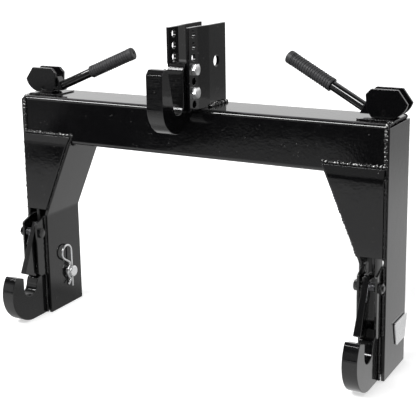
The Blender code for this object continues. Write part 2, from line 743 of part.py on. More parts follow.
def make_rod(side, slide):
    """Bent release rod with a foot in the latch's slot and an eye on the lever's pin."""
    x = side * HOOK_X
    foot = side * (LATCH_X - LATCH_ARM_INBOARD - LATCH_ARM_THICKNESS / 2 - ROD_FOOT_PROUD)
    eye_low = LEVER_PIN_Z - ROD_EYE_RADIUS
    rise = BEAM_BOTTOM - ROD_LOW_Z
    corners = (
        (foot, ROD_LOW_Y, ROD_LOW_Z),
        (x, ROD_LOW_Y, ROD_LOW_Z),
        (x, ROD_LOW_Y, ROD_LOW_Z + rise * ROD_LOW_BEND),
        (x, BEAM_MIDDLE, ROD_LOW_Z + rise * ROD_HIGH_BEND),
        (x, BEAM_MIDDLE, eye_low + ROD_RADIUS / 2),
    )
    path = rounded_path(corners, (ROD_HOOK_RADIUS, ROD_BEND_RADIUS, ROD_BEND_RADIUS))
    rod = add(f"{side_name(side)}_release_rod", sweep(path, ROD_RADIUS, 10), black_paint(), slide)
    half = ROD_EYE_WIDTH / 2
    eye = prism(circle(ROD_EYE_RADIUS, (x, LEVER_PIN_Z)), "Y", BEAM_MIDDLE - half, BEAM_MIDDLE + half)
    join(rod, f"{rod.name}_eye", eye)
    hole = prism(circle(LEVER_PIN_RADIUS + RUNNING_GAP, (x, LEVER_PIN_Z), 14), "Y",
                 BEAM_MIDDLE - ROD_EYE_WIDTH, BEAM_MIDDLE + ROD_EYE_WIDTH)
    cut(rod, f"{rod.name}_eye_hole", hole)


def make_pad(side):
    """Wear pad on the beam under the cam plates."""
    low, high = across(side, HOOK_X - PAD_INBOARD, HOOK_X + PAD_OUTBOARD)
    outline = rectangle((low, BEAM_MIDDLE - PAD_HALF_DEPTH), (high, BEAM_MIDDLE + PAD_HALF_DEPTH))
    pad = add(f"{side_name(side)}_lever_pad", prism(outline, "Z", BEAM_TOP + SEAT_GAP, PAD_TOP), black_paint())
    outline = [(side * HOOK_X + x, BEAM_MIDDLE + y) for x, y in rod_hole()]
    cut(pad, f"{pad.name}_hole", prism(outline, "Z", BEAM_TOP - PAD_THICKNESS, PAD_TOP + PAD_THICKNESS))


def cam_outline():
    """Cam plate seen from the front, outboard to the right, relative to the pin."""
    flat = CAM_CENTRE_UP - CAM_RADIUS
    outline = arc((CAM_CENTRE_OUT, CAM_CENTRE_UP), CAM_RADIUS, -math.pi / 2, CAM_NOSE_ANGLE)
    outline += [
        (CAM_TOP_OUT, CAM_TOP_ABOVE_PIN),
        (-CAM_TOP_IN, CAM_TOP_ABOVE_PIN),
        (-CAM_SHOULDER_IN, CAM_SHOULDER_UP),
        (-CAM_HEEL_IN, CAM_HEEL_UP),
        (-CAM_FLAT_IN, flat),
    ]
    return outline


def make_lever(side, pivot):
    """Cam plates, hub, shaft, grip and pin, which turn together about the pin."""
    name = side_name(side)
    finish = black_paint()
    outline = [(side * (HOOK_X + x), LEVER_PIN_Z + z) for x, z in cam_outline()]
    near = CAM_PLATE_GAP / 2
    far = near + CAM_PLATE
    for place, low, high in (("front", -far, -near), ("rear", near, far)):
        plate = add(f"{name}_cam_plate_{place}",
                    prism(outline, "Y", BEAM_MIDDLE + low, BEAM_MIDDLE + high), finish, pivot)
        soften(plate, PLATE_EDGE)
        hole = prism(circle(LEVER_PIN_RADIUS + SEAT_GAP, (side * HOOK_X, LEVER_PIN_Z), 14), "Y",
                     BEAM_MIDDLE - 2 * far, BEAM_MIDDLE + 2 * far)
        cut(plate, f"{plate.name}_hole", hole)
    reach = far + LEVER_PIN_PROUD
    pin = turned([(-reach, LEVER_PIN_RADIUS), (reach, LEVER_PIN_RADIUS),
                  (reach, LEVER_PIN_BORE), (-reach, LEVER_PIN_BORE)], 14, closed=True)
    bmesh.ops.transform(pin, verts=pin.verts[:], matrix=Matrix.Translation(pivot.location)
                        @ Matrix.Rotation(math.pi / 2, 4, "Z"))
    add(f"{name}_lever_pin", pin, black_paint(), pivot)
    make_shaft_and_grip(side, pivot)


def shaft_frame(side, pivot):
    """Matrix whose X axis runs up the shaft from its foot; the shaft leans back towards the driver."""
    foot = Vector((pivot.location.x - side * SHAFT_FOOT_IN, BEAM_MIDDLE, LEVER_PIN_Z + SHAFT_FOOT_UP))
    level = Vector((-side * math.cos(SHAFT_BACKWARD), math.sin(SHAFT_BACKWARD), 0.0))
    along = level * math.cos(SHAFT_SLOPE[side])
    along.z = math.sin(SHAFT_SLOPE[side])
    back = Vector((0.0, 0.0, 1.0)).cross(along).normalized()
    turn = Matrix((along, back, along.cross(back))).transposed().to_4x4()
    return Matrix.Translation(foot) @ turn


def make_shaft_and_grip(side, pivot):
    name = side_name(side)
    frame = shaft_frame(side, pivot)
    out = -side * HUB_IN + pivot.location.x
    bottom = LEVER_PIN_Z - HUB_BOTTOM
    top = LEVER_PIN_Z + HUB_TOP
    half = CAM_PLATE_GAP / 2 - SEAT_GAP
    face = frame @ Vector((-SEAT_GAP, 0.0, 0.0))
    along = frame.col[0]
    loops = []
    for y in (BEAM_MIDDLE - half, BEAM_MIDDLE + half):
        low, high = (face.x + ((face.y - y) * along.y + (face.z - z) * along.z) / along.x for z in (bottom, top))
        loops.append([(out, y, bottom), (low, y, bottom), (high, y, top), (out, y, top)])
    hub = add(f"{name}_lever_hub", rings(loops), black_paint(), pivot)
    soften(hub, FORGED_EDGE)
    grip_end = GRIP_START + GRIP_LENGTH
    inside_end = grip_end - GRIP_WALL - SEAT_GAP
    edge = FORGED_EDGE
    profile = [(0.0, SHAFT_RADIUS - edge), (edge, SHAFT_RADIUS), (inside_end - edge, SHAFT_RADIUS),
               (inside_end, SHAFT_RADIUS - edge)]
    shaft = turned(profile)
    bmesh.ops.transform(shaft, verts=shaft.verts[:], matrix=frame)
    add(f"{name}_lever_shaft", shaft, black_paint(), pivot)
    bore = SHAFT_RADIUS + SEAT_GAP
    outer = bore + GRIP_WALL
    ribs = int((GRIP_LENGTH - GRIP_CAP_LENGTH - edge) / GRIP_RIB_PITCH)
    profile = [(GRIP_START, bore), (GRIP_START, outer - edge)]
    for rib in range(ribs):
        along = GRIP_START + edge + rib * GRIP_RIB_PITCH
        profile.append((along, outer - GRIP_RIB_HEIGHT))
        profile.append((along + GRIP_RIB_PITCH / 2, outer))
    profile += [
        (grip_end - GRIP_CAP_LENGTH, outer - GRIP_RIB_HEIGHT),
        (grip_end - GRIP_CAP_LENGTH + edge, outer),
        (grip_end - 2 * edge, outer),
        (grip_end - edge / 2, outer - edge / 2),
        (grip_end, outer - 2 * edge),
        (grip_end, GRIP_END_HOLE),
        (grip_end - GRIP_WALL, GRIP_END_HOLE),
        (grip_end - GRIP_WALL, bore),
    ]
    grip = turned(profile, 16, closed=True)
    bmesh.ops.transform(grip, verts=grip.verts[:], matrix=frame)
    add(f"{name}_lever_grip", grip, grip_rubber(), pivot)


def make_link_pin(side, pivot):
    """Lower link pin with its flag outside the leg and a hairpin through its inner end."""
    name = side_name(side)
    inner = INNER_FACE_X - PIN_INNER_PROUD
    outer = OUTER_FACE_X + PIN_FLAG_STANDOFF - SEAT_GAP
    edge = PIN_CHAMFER
    profile = [(inner, PIN_RADIUS - edge), (inner + edge, PIN_RADIUS), (outer, PIN_RADIUS)]
    body = turned([(side * x, r) for x, r in profile], 24)
    bmesh.ops.translate(body, verts=body.verts[:], vec=(0.0, PIN_Y, PIN_HEIGHT))
    pin = add(f"{name}_link_pin", body, zinc(), pivot)
    clip_x = side * (INNER_FACE_X - PIN_INNER_PROUD / 2)
    wire = CLIP_WIRE / 2
    hole = prism(circle(wire + SEAT_GAP, (clip_x, PIN_Y), 12), "Z",
                 PIN_HEIGHT - 2 * PIN_RADIUS, PIN_HEIGHT + 2 * PIN_RADIUS)
    cut(pin, f"{name}_link_pin_hole", hole)
    half_top = FLAG_TOP_WIDTH / 2
    half_bottom = FLAG_BOTTOM_WIDTH / 2
    middle = PIN_Y + FLAG_BACKWARD
    outline = [
        (middle - half_bottom, PIN_HEIGHT - FLAG_BELOW_PIN),
        (middle + half_bottom, PIN_HEIGHT - FLAG_BELOW_PIN),
        (middle + half_top, PIN_HEIGHT + FLAG_ABOVE_PIN),
        (middle - half_top, PIN_HEIGHT + FLAG_ABOVE_PIN),
    ]
    near = OUTER_FACE_X + PIN_FLAG_STANDOFF
    flag = add(f"{name}_link_pin_flag", prism(outline, "X", *across(side, near, near + FLAG_PLATE)), zinc(), pivot)
    soften(flag, PLATE_EDGE)
    add(f"{name}_hairpin", sweep(hairpin_path(clip_x), wire, 8), zinc(), pivot)


def hairpin_path(x):
    """R-shaped wire: a straight leg through the pin, a round eye and a leg round the outside."""
    loop = CLIP_LOOP_RADIUS
    eye = (PIN_Y - loop, PIN_HEIGHT + CLIP_ABOVE_PIN)
    waist = PIN_Y - CLIP_WIRE - SEAT_GAP
    grip = PIN_RADIUS + CLIP_WIRE / 2 + SEAT_GAP
    around = arc((PIN_Y, PIN_HEIGHT), grip, 0.75 * math.pi, 1.25 * math.pi, math.radians(15))
    over = arc(eye, loop, 0.0, 1.3 * math.pi, math.radians(18))
    upper = (over[-1], (waist, PIN_HEIGHT + CLIP_WAIST_ABOVE_PIN), around[0])
    lower = (around[-1], (waist, PIN_HEIGHT - CLIP_WAIST_BELOW_PIN),
             (PIN_Y - CLIP_END_OUT, PIN_HEIGHT - CLIP_END_BELOW_PIN))
    path = [(x, PIN_Y, PIN_HEIGHT - CLIP_BELOW_PIN), (x, PIN_Y, PIN_HEIGHT)]
    path += [(x, y, z) for y, z in over[:-1]]
    path += rounded_path([(x, y, z) for y, z in upper], (CLIP_BEND_RADIUS,))
    path += [(x, y, z) for y, z in around[1:-1]]
    path += rounded_path([(x, y, z) for y, z in lower], (CLIP_BEND_RADIUS,))
    return path


def make_mast_plate(side):
    """Mast plate: close to the hook in front, joggled out behind for the top link's ball."""
    face = [
        (MAST_FRONT_IN_X, BEAM_FRONT - MAST_FORWARD),
        (MAST_FRONT_IN_X, BEAM_FRONT),
        (MAST_BACK_IN_X, BEAM_FRONT + MAST_JOGGLE_LENGTH),
        (MAST_BACK_IN_X, BEAM_BACK - MAST_BACK_SHORT),
    ]
    outside = offset_line(face, MAST_PLATE)
    outline = [(side * x, y) for x, y in face + outside[::-1]]
    plate = add(f"mast_plate_{side_name(side)}", prism(outline, "Z", MAST_FOOT, MAST_TOP), black_paint())
    soften(plate, PLATE_EDGE)
    low, high = across(side, 0.0, MAST_BACK_IN_X + 2 * MAST_PLATE)
    below = int((HOOK_BOLT_Z - BEAM_TOP - MAST_HOLE_EDGE + SEAT_GAP) / MAST_HOLE_PITCH)
    above = int((MAST_ABOVE_HOOK_BOLT - MAST_HOLE_EDGE) / MAST_HOLE_PITCH)
    for index in range(-below, above + 1):
        hole = prism(circle(MAST_HOLE_RADIUS, (MAST_HOLE_Y, mast_hole_height(index)), 16), "X", low, high)
        cut(plate, f"{plate.name}_hole_{index + below + 1}", hole)
    place = (BEAM_FRONT + TOP_LINK_HOLE_BACK, BEAM_TOP + TOP_LINK_HOLE_UP)
    cut(plate, f"{plate.name}_top_link_hole", prism(circle(TOP_LINK_HOLE_RADIUS, place, 20), "X", low, high))


def make_top_hook():
    """Hook for the implement's mast pin, its shank bolted between the mast plates."""
    jaw = (TOP_JAW_Y, TOP_JAW_Z)
    top_bolt = mast_hole_height(max(HOOK_BOLT_HOLES))
    shank_top = top_bolt + TOP_SHANK_ABOVE_BOLT
    shank_front = TOP_JAW_Y + TOP_JAW_RADIUS
    shank_back = BEAM_FRONT + TOP_SHANK_BEHIND
    arc_centre = (BEAM_FRONT - TOP_HOOK_ARC_FORWARD, TOP_JAW_Z + TOP_HOOK_ARC_RISE)
    front = arc_centre[0] - TOP_HOOK_OUTER_RADIUS
    tine_top = TOP_JAW_Z + TOP_TINE_ABOVE_JAW
    lip_back = front + TOP_TINE_CHAMFER_DROP + TOP_TINE_LIP
    step = max(BEAM_TOP + TOP_SHANK_OVER_BEAM, arc_centre[1] - TOP_HOOK_STEP_DROP)
    end = math.asin(min(0.0, step - arc_centre[1]) / TOP_HOOK_OUTER_RADIUS)
    touch = tangent_angle(jaw, TOP_JAW_RADIUS, (lip_back, tine_top), 1)
    outline = arc(arc_centre, TOP_HOOK_OUTER_RADIUS, -math.pi, end)
    if step > outline[-1][1] + SEAT_GAP:
        outline.append((outline[-1][0], step))
    outline += [(shank_back, step), (shank_back, shank_top)]
    corner = TOP_SHANK_CORNER
    outline += arc((shank_front + corner, shank_top - corner), corner, math.pi / 2, math.pi, math.radians(15))
    outline += arc(jaw, TOP_JAW_RADIUS, 0.0, touch - math.tau if touch > 0 else touch)
    outline += [
        (lip_back, tine_top),
        (front + TOP_TINE_CHAMFER_DROP, tine_top),
        (front, tine_top - TOP_TINE_CHAMFER_DROP),
    ]
    half = TOP_HOOK_THICKNESS / 2
    hook = add("top_hook", prism(outline, "X", -half, half), black_paint())
    soften(hook, FORGED_EDGE)
    for index in HOOK_BOLT_HOLES:
        hole = circle(MAST_HOLE_RADIUS, (MAST_HOLE_Y, mast_hole_height(index)), 16)
        cut(hook, f"top_hook_hole_{index + 1}", prism(hole, "X", -2 * half, 2 * half))


def make_hook_bolts():
    seat = MAST_FRONT_IN_X + MAST_PLATE + SEAT_GAP
    nut = HOOK_BOLT_HEAD + SEAT_GAP
    for index, place in zip(HOOK_BOLT_HOLES, ("lower", "upper")):
        height = mast_hole_height(index)
        make_hex_bolt(f"top_hook_bolt_{place}", (seat, MAST_HOLE_Y, height), -seat - nut - HOOK_BOLT_TAIL,
                      HOOK_BOLT_RADIUS, HOOK_BOLT_ACROSS, HOOK_BOLT_HEAD, 1, zinc())
        make_nut(f"top_hook_nut_{place}", (-seat, MAST_HOLE_Y, height), HOOK_BOLT_RADIUS,
                 HOOK_BOLT_ACROSS, HOOK_BOLT_HEAD, -1, zinc())


def make_side(side):
    name = side_name(side)
    make_leg_plates(side)
    make_gusset(side)
    make_lower_hook(side)
    make_latch_ears(side)
    make_latch_bolt(side)
    make_latch_spring(side)
    make_pad(side)
    make_latch(side, axis_empty(f"{name}_latch_axis", Vector((side * LATCH_X, LATCH_Y, LATCH_Z))))
    make_rod(side, axis_empty(f"{name}_rod_slide", Vector((side * HOOK_X, BEAM_MIDDLE, BEAM_TOP))))
    make_lever(side, axis_empty(f"{name}_lever_axis", Vector((side * HOOK_X, BEAM_MIDDLE, LEVER_PIN_Z))))
    make_link_pin(side, axis_empty(f"{name}_pin_axis", Vector((side * HOOK_X, PIN_Y, PIN_HEIGHT))))


def main():
    clear_scene()
    make_crossbeam()
    for side in (-1, 1):
        make_side(side)
        make_mast_plate(side)
    make_top_hook()
    make_hook_bolts()


main()
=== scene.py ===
"""Three point quick hitch: finished pieces, surface finishes, studio and camera.

Metres, +Z up, +X to the right of the implement, +Y away from it (towards the tractor).
Every piece takes its place and main sizes from the frame that is loaded first.
"""

import json
import math

import bmesh
import bpy
from bpy.props import FloatProperty, FloatVectorProperty, IntProperty, PointerProperty
from mathutils import Matrix, Vector

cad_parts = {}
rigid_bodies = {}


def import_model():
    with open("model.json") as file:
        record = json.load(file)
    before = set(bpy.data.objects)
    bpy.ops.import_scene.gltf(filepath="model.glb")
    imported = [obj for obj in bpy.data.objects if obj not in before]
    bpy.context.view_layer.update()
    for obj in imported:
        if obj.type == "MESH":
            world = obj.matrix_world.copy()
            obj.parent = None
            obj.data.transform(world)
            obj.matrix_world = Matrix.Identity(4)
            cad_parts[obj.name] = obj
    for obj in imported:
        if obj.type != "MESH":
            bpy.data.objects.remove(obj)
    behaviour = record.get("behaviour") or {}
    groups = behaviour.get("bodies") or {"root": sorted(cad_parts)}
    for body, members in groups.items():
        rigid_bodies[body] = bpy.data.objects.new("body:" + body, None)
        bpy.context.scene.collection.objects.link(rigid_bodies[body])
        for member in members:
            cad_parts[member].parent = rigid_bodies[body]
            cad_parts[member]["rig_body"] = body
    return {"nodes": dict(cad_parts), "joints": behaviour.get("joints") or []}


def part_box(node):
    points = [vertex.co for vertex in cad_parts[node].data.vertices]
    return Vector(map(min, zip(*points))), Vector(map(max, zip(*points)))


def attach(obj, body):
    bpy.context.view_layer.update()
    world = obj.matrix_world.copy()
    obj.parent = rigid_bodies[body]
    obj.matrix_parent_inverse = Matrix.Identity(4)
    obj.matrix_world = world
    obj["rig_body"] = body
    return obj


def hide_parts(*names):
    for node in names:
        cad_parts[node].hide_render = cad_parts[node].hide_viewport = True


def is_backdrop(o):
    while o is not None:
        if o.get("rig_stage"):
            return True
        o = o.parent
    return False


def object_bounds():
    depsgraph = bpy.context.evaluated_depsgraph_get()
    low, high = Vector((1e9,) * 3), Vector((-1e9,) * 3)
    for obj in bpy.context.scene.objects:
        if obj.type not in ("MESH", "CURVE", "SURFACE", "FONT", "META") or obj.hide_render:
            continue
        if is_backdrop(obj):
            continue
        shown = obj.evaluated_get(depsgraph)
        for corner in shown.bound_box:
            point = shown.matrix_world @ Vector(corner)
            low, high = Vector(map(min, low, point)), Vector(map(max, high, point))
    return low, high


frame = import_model()

bl_info = {
    "name": "Three point quick hitch",
    "version": (1, 0, 0),
    "blender": (4, 5, 0),
    "location": "3D View > Sidebar > Hitch",
    "description": "Finishes the hitch's pieces and sets up its studio",
    "category": "Object",
}

SIDES = {"left": -1, "right": 1}

# Places read from the frame
PIVOTS = {joint["name"]: Vector(joint["pos_m"]) for joint in frame["joints"] if "pos_m" in joint}
BEAM_LOW, BEAM_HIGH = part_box("crossbeam")
BEAM_FRONT, BEAM_BACK = BEAM_LOW.y, BEAM_HIGH.y
BEAM_BOTTOM, BEAM_TOP = BEAM_LOW.z, BEAM_HIGH.z
BEAM_MIDDLE = (BEAM_FRONT + BEAM_BACK) / 2
HOOK_LOW, HOOK_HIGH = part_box("right_lower_hook")
HOOK_X = (HOOK_LOW.x + HOOK_HIGH.x) / 2
OUTER_LOW, OUTER_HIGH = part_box("right_outer_plate")
INNER_LOW, INNER_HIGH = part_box("right_inner_plate")
GUSSET_LOW, GUSSET_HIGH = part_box("right_gusset")
EAR_LOW, EAR_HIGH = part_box("right_latch_ear_outer")
PLATE = OUTER_HIGH.x - OUTER_LOW.x
MAST_LOW, MAST_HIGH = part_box("mast_plate_right")
TOP_HOOK_LOW, TOP_HOOK_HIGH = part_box("top_hook")

# Crossbeam and legs
BEAM_WALL = 0.005
BEAM_CORNER = 0.008
ROD_HOLE = 0.006
BEND_HEIGHT = 0.198
BEND_RADIUS = 0.020
GUSSET_PLATE = 0.006
GUSSET_BAND = 0.018
GUSSET_FOOT_INSET = 0.004
GUSSET_EDGE_INSET = 0.0055
GUSSET_BAND_FLARE = 0.009
GUSSET_BAND_LEAN = 0.0025
GUSSET_BEND_STEPS = 6
PIN_HOLE = 0.0115
PAD_CORNER = 0.003

# Lower hooks
JAW_RADIUS = 0.0185
JAW_FORWARD = 0.050
JAW_HEIGHT = 0.068
HOOK_RADIUS = 0.060
HOOK_ARC_FORWARD = 0.043
TINE_BACK_HEIGHT = 0.0895
TINE_CHAMFER = 0.004
TINE_CORNER = 0.0025
HOOK_BACK_CORNER = 0.004
MOUTH_FLARE = 0.0045
MOUTH_FLARE_HEIGHT = 0.078
SHOULDER_FORWARD = 0.020

# Latches, ears and their bolts
LATCH_LEAN = math.radians(24.2)
LATCH_FACE_OFFSET = 0.0079
LATCH_FACE_BELOW = 0.0823
LATCH_FACE_ABOVE = 0.0190
LATCH_FOOT = 0.0335
LATCH_BOSS = 0.010
LATCH_WIDTH_FOOT = 0.0134
LATCH_WIDTH_TOP = 0.0086
LATCH_ARM_THICKNESS = 0.0045
LATCH_ARM_INBOARD = 0.0035
LATCH_ARM_BACK = 0.020
LATCH_ARM_UP = 0.008
LATCH_ARM_HALF = 0.0075
LATCH_OPEN = math.radians(25.0)
EAR_CORNER = 0.0065
EAR_TAIL_FOOT = 0.010
EAR_FOOT_ABOVE_HOOK = 0.001
EAR_FRONT_DROP = 0.011
EAR_CORNER_RADII = {"front": 0.004, "foot": 0.002, "top": 0.006}
LATCH_CORNER = 0.002
BOLT_RADIUS = 0.005
BOLT_ACROSS = 0.016
BOLT_HEAD = 0.0062
BOLT_THREAD = 0.011
SPRING_WIRE = 0.0018
SPRING_TURNS = 4.5
SPRING_STEPS = 28
SPRING_LEG = 0.026

# Release rods
ROD_RADIUS = 0.0025
ROD_LOW_BEND = 0.387
ROD_HIGH_BEND = 0.8155
ROD_BEND_RADIUS = 0.016
ROD_HOOK_RADIUS = 0.005
EYE_RADIUS = 0.0070
EYE_BORE = 0.0034
EYE_HALF_WIDTH = 0.008

# Cam levers
CAM_RADIUS = 0.0324
CAM_CENTRE = (0.008, 0.0234)
CAM_NOSE = math.radians(-14.0)
CAM_CORNERS = ((0.0231, 0.0378), (-0.022, 0.0378), (-0.0311, 0.0284), (-0.029, 0.0034))
CAM_FLAT_IN = 0.0208
CAM_GAP = 0.020
CAM_CORNER = 0.003
CAM_PIN_RADIUS = 0.003
CAM_PIN_BORE = 0.0014
HUB_IN = 0.0105
HUB_BOTTOM = 0.0045
HUB_TOP = 0.022
SHAFT_RADIUS = 0.0085
SHAFT_SLOPE = {"left": math.radians(23.5), "right": math.radians(26.9)}
SHAFT_BACKWARD = math.radians(8.3)
SHAFT_FOOT_IN = 0.0373
SHAFT_FOOT_UP = 0.0048
HANDLE_EDGE = 0.0012
GRIP_START = 0.068
GRIP_LENGTH = 0.096
GRIP_WALL = 0.0030
GRIP_CAP = 0.010
GRIP_HOLE = 0.0022

# Link pins
PIN_RADIUS = 0.0111
PIN_CHAMFER = 0.0015
PIN_END = ((0.0, 1.1), (0.15, 0.9), (0.9, 0.1), (1.2, 0.0))
FLAG_TOP = 0.062
FLAG_BOTTOM = 0.042
FLAG_CORNER = 0.002
CLIP_WIRE = 0.004
CLIP_LOOP = 0.0145
CLIP_ABOVE = 0.043
CLIP_BELOW = 0.031
CLIP_WAIST_ABOVE = 0.019
CLIP_WAIST_BELOW = 0.0165
CLIP_END_OUT = 0.013
CLIP_END_BELOW = 0.025
CLIP_BEND = 0.004

# Mast and top hook
MAST_PLATE = 0.006
MAST_JOGGLE = 0.032
MAST_BEND = 0.010
MAST_HOLE = 0.0065
MAST_HOLE_PITCH = 0.020
MAST_HOLE_EDGE = 0.011
MAST_HOLE_FORWARD = 0.0145
LINK_HOLE = 0.0099
LINK_HOLE_BACK = 0.057
LINK_HOLE_UP = 0.078
TOP_JAW_RADIUS = 0.0155
TOP_JAW_FORWARD = 0.057
TOP_ARC_RADIUS = 0.0505
TOP_ARC_RISE = 0.002
TOP_TINE_RISE = 0.065
TOP_TINE_CORNER = 0.0015
TOP_BACK_CORNER = 0.003
TOP_LIP = 0.012
TOP_LIP_DROP = 0.008
TOP_SHANK_CORNER = 0.020
TOP_STEP_OVER_BEAM = 0.003
HOOK_BOLT_RADIUS = 0.006
HOOK_BOLT_ACROSS = 0.0185
HOOK_BOLT_HEAD = 0.0075
HOOK_BOLT_THREAD = 0.013

# Hexagons and threads: shares of the width, the bore and the pitch, and the cone's slope
HEX_FLAT = 0.475
HEX_CONE = math.radians(28)
FASTENER_SIDES = 72
NUT_COUNTERSINK = 1.12
THREAD_DEPTH = 0.45
THREAD_STEPS = 8
THREAD_END = 1e-5

# Welds: shares of the usual bead's radius and pitch, and one ripple's form
BEAM_WELD = 1.25
LEG_WELD = 0.90
MAST_WELD_RADIUS = 1.4
MAST_WELD_PITCH = 1.3
WELD_SINK = 0.4
WELD_CORE = 0.70
RIPPLE_THICKNESS = 0.62
RIPPLE_LEAN = math.radians(24)
RIPPLE_SMALLEST, RIPPLE_LARGEST = 0.72, 1.22

# Small gaps between pieces that touch
SEAT_GAP = 0.0003
RUNNING_GAP = 0.0004

# How finely arcs and edges are divided
ARC_STEP = math.radians(4)
LARGE_ARC_STEP = math.radians(3)
SMALL_ARC_STEP = math.radians(9)
CORNER_ARC_STEP = math.radians(7.5)
SHANK_ARC_STEP = math.radians(15)
CORNER_STEPS = 10
EDGE_SEGMENTS = 3
EDGE_ANGLE = math.radians(28)
CLIP_ARC_STEP = math.radians(5)
CLIP_EYE_ARC_STEP = math.radians(6)

# The least angles between faces that are shaded sharp, where no edge is rounded
SHARP = math.radians(30)
TURNED_SHARP = math.radians(50)
WIRE_SHARP = math.radians(60)

# Fixed colours
WHITE = (1.0, 1.0, 1.0, 1.0)
BLACK = (0.0, 0.0, 0.0, 1.0)
# Matt black of the painted shade between the leg plates
PAINTED_SHADE_BLACK = (0.004, 0.004, 0.004, 1.0)
# Pale grey of the dust, and of the grit specks, which are partly painted glints
DUST_AND_GLINT_GREY = (0.30, 0.29, 0.28, 1.0)
# Pale grey of the painted glints on the weld beads
PAINTED_GLINT_GREY = (0.75, 0.75, 0.74, 1.0)
BLACKENED_STEEL = (0.07, 0.07, 0.075, 1.0)

# Lamps: place, the point that each faces, width and height
TOP_LAMP = ((-0.9, -1.75, 2.2), (0.0, 0.0, 0.35), 2.6, 0.45)
FRONT_LAMP = ((0.2, -1.9, 2.3), (0.0, 0.0, 0.3), 0.9, 0.6)

# Camera, fitted to the photograph's edges
CAMERA_PLACE = Vector((0.86089, -1.46693, 0.72850))
CAMERA_AZIMUTH = 0.5095
CAMERA_ELEVATION = 0.2151
CAMERA_ROLL = -0.0164
CAMERA_SENSOR = 36.0
CAMERA_LENS = 86.42
CAMERA_SHIFT = -0.1394


def paint_colour(name, description, default):
    return FloatVectorProperty(name=name, description=description, default=default, size=3,
                               subtype="COLOR", min=0.0, max=1.0)


def length(name, description, default):
    return FloatProperty(name=name, description=description, default=default, unit="LENGTH",
                         subtype="DISTANCE", min=0.0, precision=5)


class HitchSizes(bpy.types.PropertyGroup):
    """Sizes of the details that the finishing adds."""

    plate_edge: length("Plate edge", "Rounding of the cut plates' edges", 0.0008)
    forged_edge: length("Hook edge", "Rounding of the hooks' and latches' edges", 0.0014)
    rib_pitch: length("Rib pitch", "Distance between the grips' ribs", 0.0046)
    rib_size: length("Rib size", "Radius of one of the grips' ribs", 0.0010)
    weld_radius: length("Weld radius", "Radius of the weld beads", 0.0032)
    weld_pitch: length("Weld pitch", "Distance between the ripples of a weld", 0.0052)
    thread_pitch: length("Thread pitch", "Pitch of the bolts' threads", 0.0015)
    weld_seed: IntProperty(name="Weld seed", description="Seed of the welds' uneven ripples",
                           default=7, min=0)


class HitchColours(bpy.types.PropertyGroup):
    """Colours of the finishes."""

    paint: paint_colour("Paint", "Gloss paint on the steel", (0.0038, 0.0038, 0.0042))
    zinc: paint_colour("Zinc", "Zinc plate on bolts and pins", (0.94, 0.945, 0.95))
    spring: paint_colour("Spring steel", "Bare latch springs", (0.24, 0.24, 0.25))
    rubber: paint_colour("Rubber", "Grips of the two levers", (0.031, 0.031, 0.033))


class HitchStudio(bpy.types.PropertyGroup):
    """The floor and the lamps."""

    floor: paint_colour("Floor", "Colour of the floor", (0.80, 0.80, 0.80))
    floor_size: length("Floor size", "Width of the floor", 60.0)
    floor_lift: FloatProperty(name="Floor white", default=0.58, min=0.0, max=1.0,
                              description="Share of the floor's white that no shadow takes")
    top_lamp: FloatProperty(name="Top lamp", description="Power of the long lamp above",
                            default=70.0, min=0.0, unit="POWER")
    front_lamp: FloatProperty(name="Front lamp", description="Power of the lamp above the camera",
                              default=10.0, min=0.0, unit="POWER")
    surround: FloatProperty(name="Surround", description="Brightness of the room behind the object",
                            default=0.95, min=0.0)
    surround_front: FloatProperty(name="Surround in front", description="Brightness of the room in front",
                                  default=0.06, min=0.0)


# Outlines and solids

def arc(centre, radius, start, end, step=ARC_STEP):
    """Points along an arc in a plane, both ends included."""
    count = max(2, math.ceil(abs(end - start) / step))
    return [
        (centre[0] + radius * math.cos(start + (end - start) * i / count),
         centre[1] + radius * math.sin(start + (end - start) * i / count))
        for i in range(count + 1)
    ]


def circle(radius, centre=(0.0, 0.0), sides=48):
    return [
        (centre[0] + radius * math.cos(math.tau * i / sides),
         centre[1] + radius * math.sin(math.tau * i / sides))
        for i in range(sides)
    ]


def rounded(corners, closed=True):
    """A line through (a, b) points and (a, b, radius) corners, each such corner turned by an arc."""
    points = []
    count = len(corners)
    for index, corner in enumerate(corners):
        here = Vector(corner[:2])
        if len(corner) == 2 or (not closed and index in (0, count - 1)):
            points.append(tuple(here))
            continue
        radius = corner[2]
        back = (Vector(corners[index - 1][:2]) - here).normalized()
        onward = (Vector(corners[(index + 1) % count][:2]) - here).normalized()
        half = back.angle(onward) / 2
        reach = radius / math.tan(half)
        centre = here + (back + onward).normalized() * (radius / math.sin(half))
        first = here + back * reach - centre
        last = here + onward * reach - centre
        start = math.atan2(first.y, first.x)
        turn = (math.atan2(last.y, last.x) - start + math.pi) % math.tau - math.pi
        points += arc(centre, radius, start, start + turn, CORNER_ARC_STEP)
    return points


def tangent_angle(centre, radius, point, side):
    """Angle on a circle where a line from the point touches it."""
    level, up = point[0] - centre[0], point[1] - centre[1]
    return math.atan2(up, level) + side * math.acos(radius / math.hypot(level, up))


def offset_line(points, distance):
    """A polyline moved sideways by the distance, its corners mitred."""
    directions = [(Vector(b) - Vector(a)).normalized() for a, b in zip(points, points[1:])]
    line = []
    for index, point in enumerate(points):
        before = directions[max(0, index - 1)]
        after = directions[min(index, len(directions) - 1)]
        normal = Vector((before.y + after.y, -before.x - after.x)).normalized()
        reach = distance / (normal.x * after.y - normal.y * after.x)
        line.append((point[0] + normal.x * reach, point[1] + normal.y * reach))
    return line


def prism(outline, axis, low, high):
    """A solid between two copies of an outline of (y, z), (x, z) or (x, y) points, for axis X, Y or Z."""
    place = {
        "X": lambda a, b, c: (c, a, b),
        "Y": lambda a, b, c: (a, c, b),
        "Z": lambda a, b, c: (a, b, c),
    }[axis]
    low, high = min(low, high), max(low, high)
    return rings([[place(a, b, low) for a, b in outline], [place(a, b, high) for a, b in outline]])


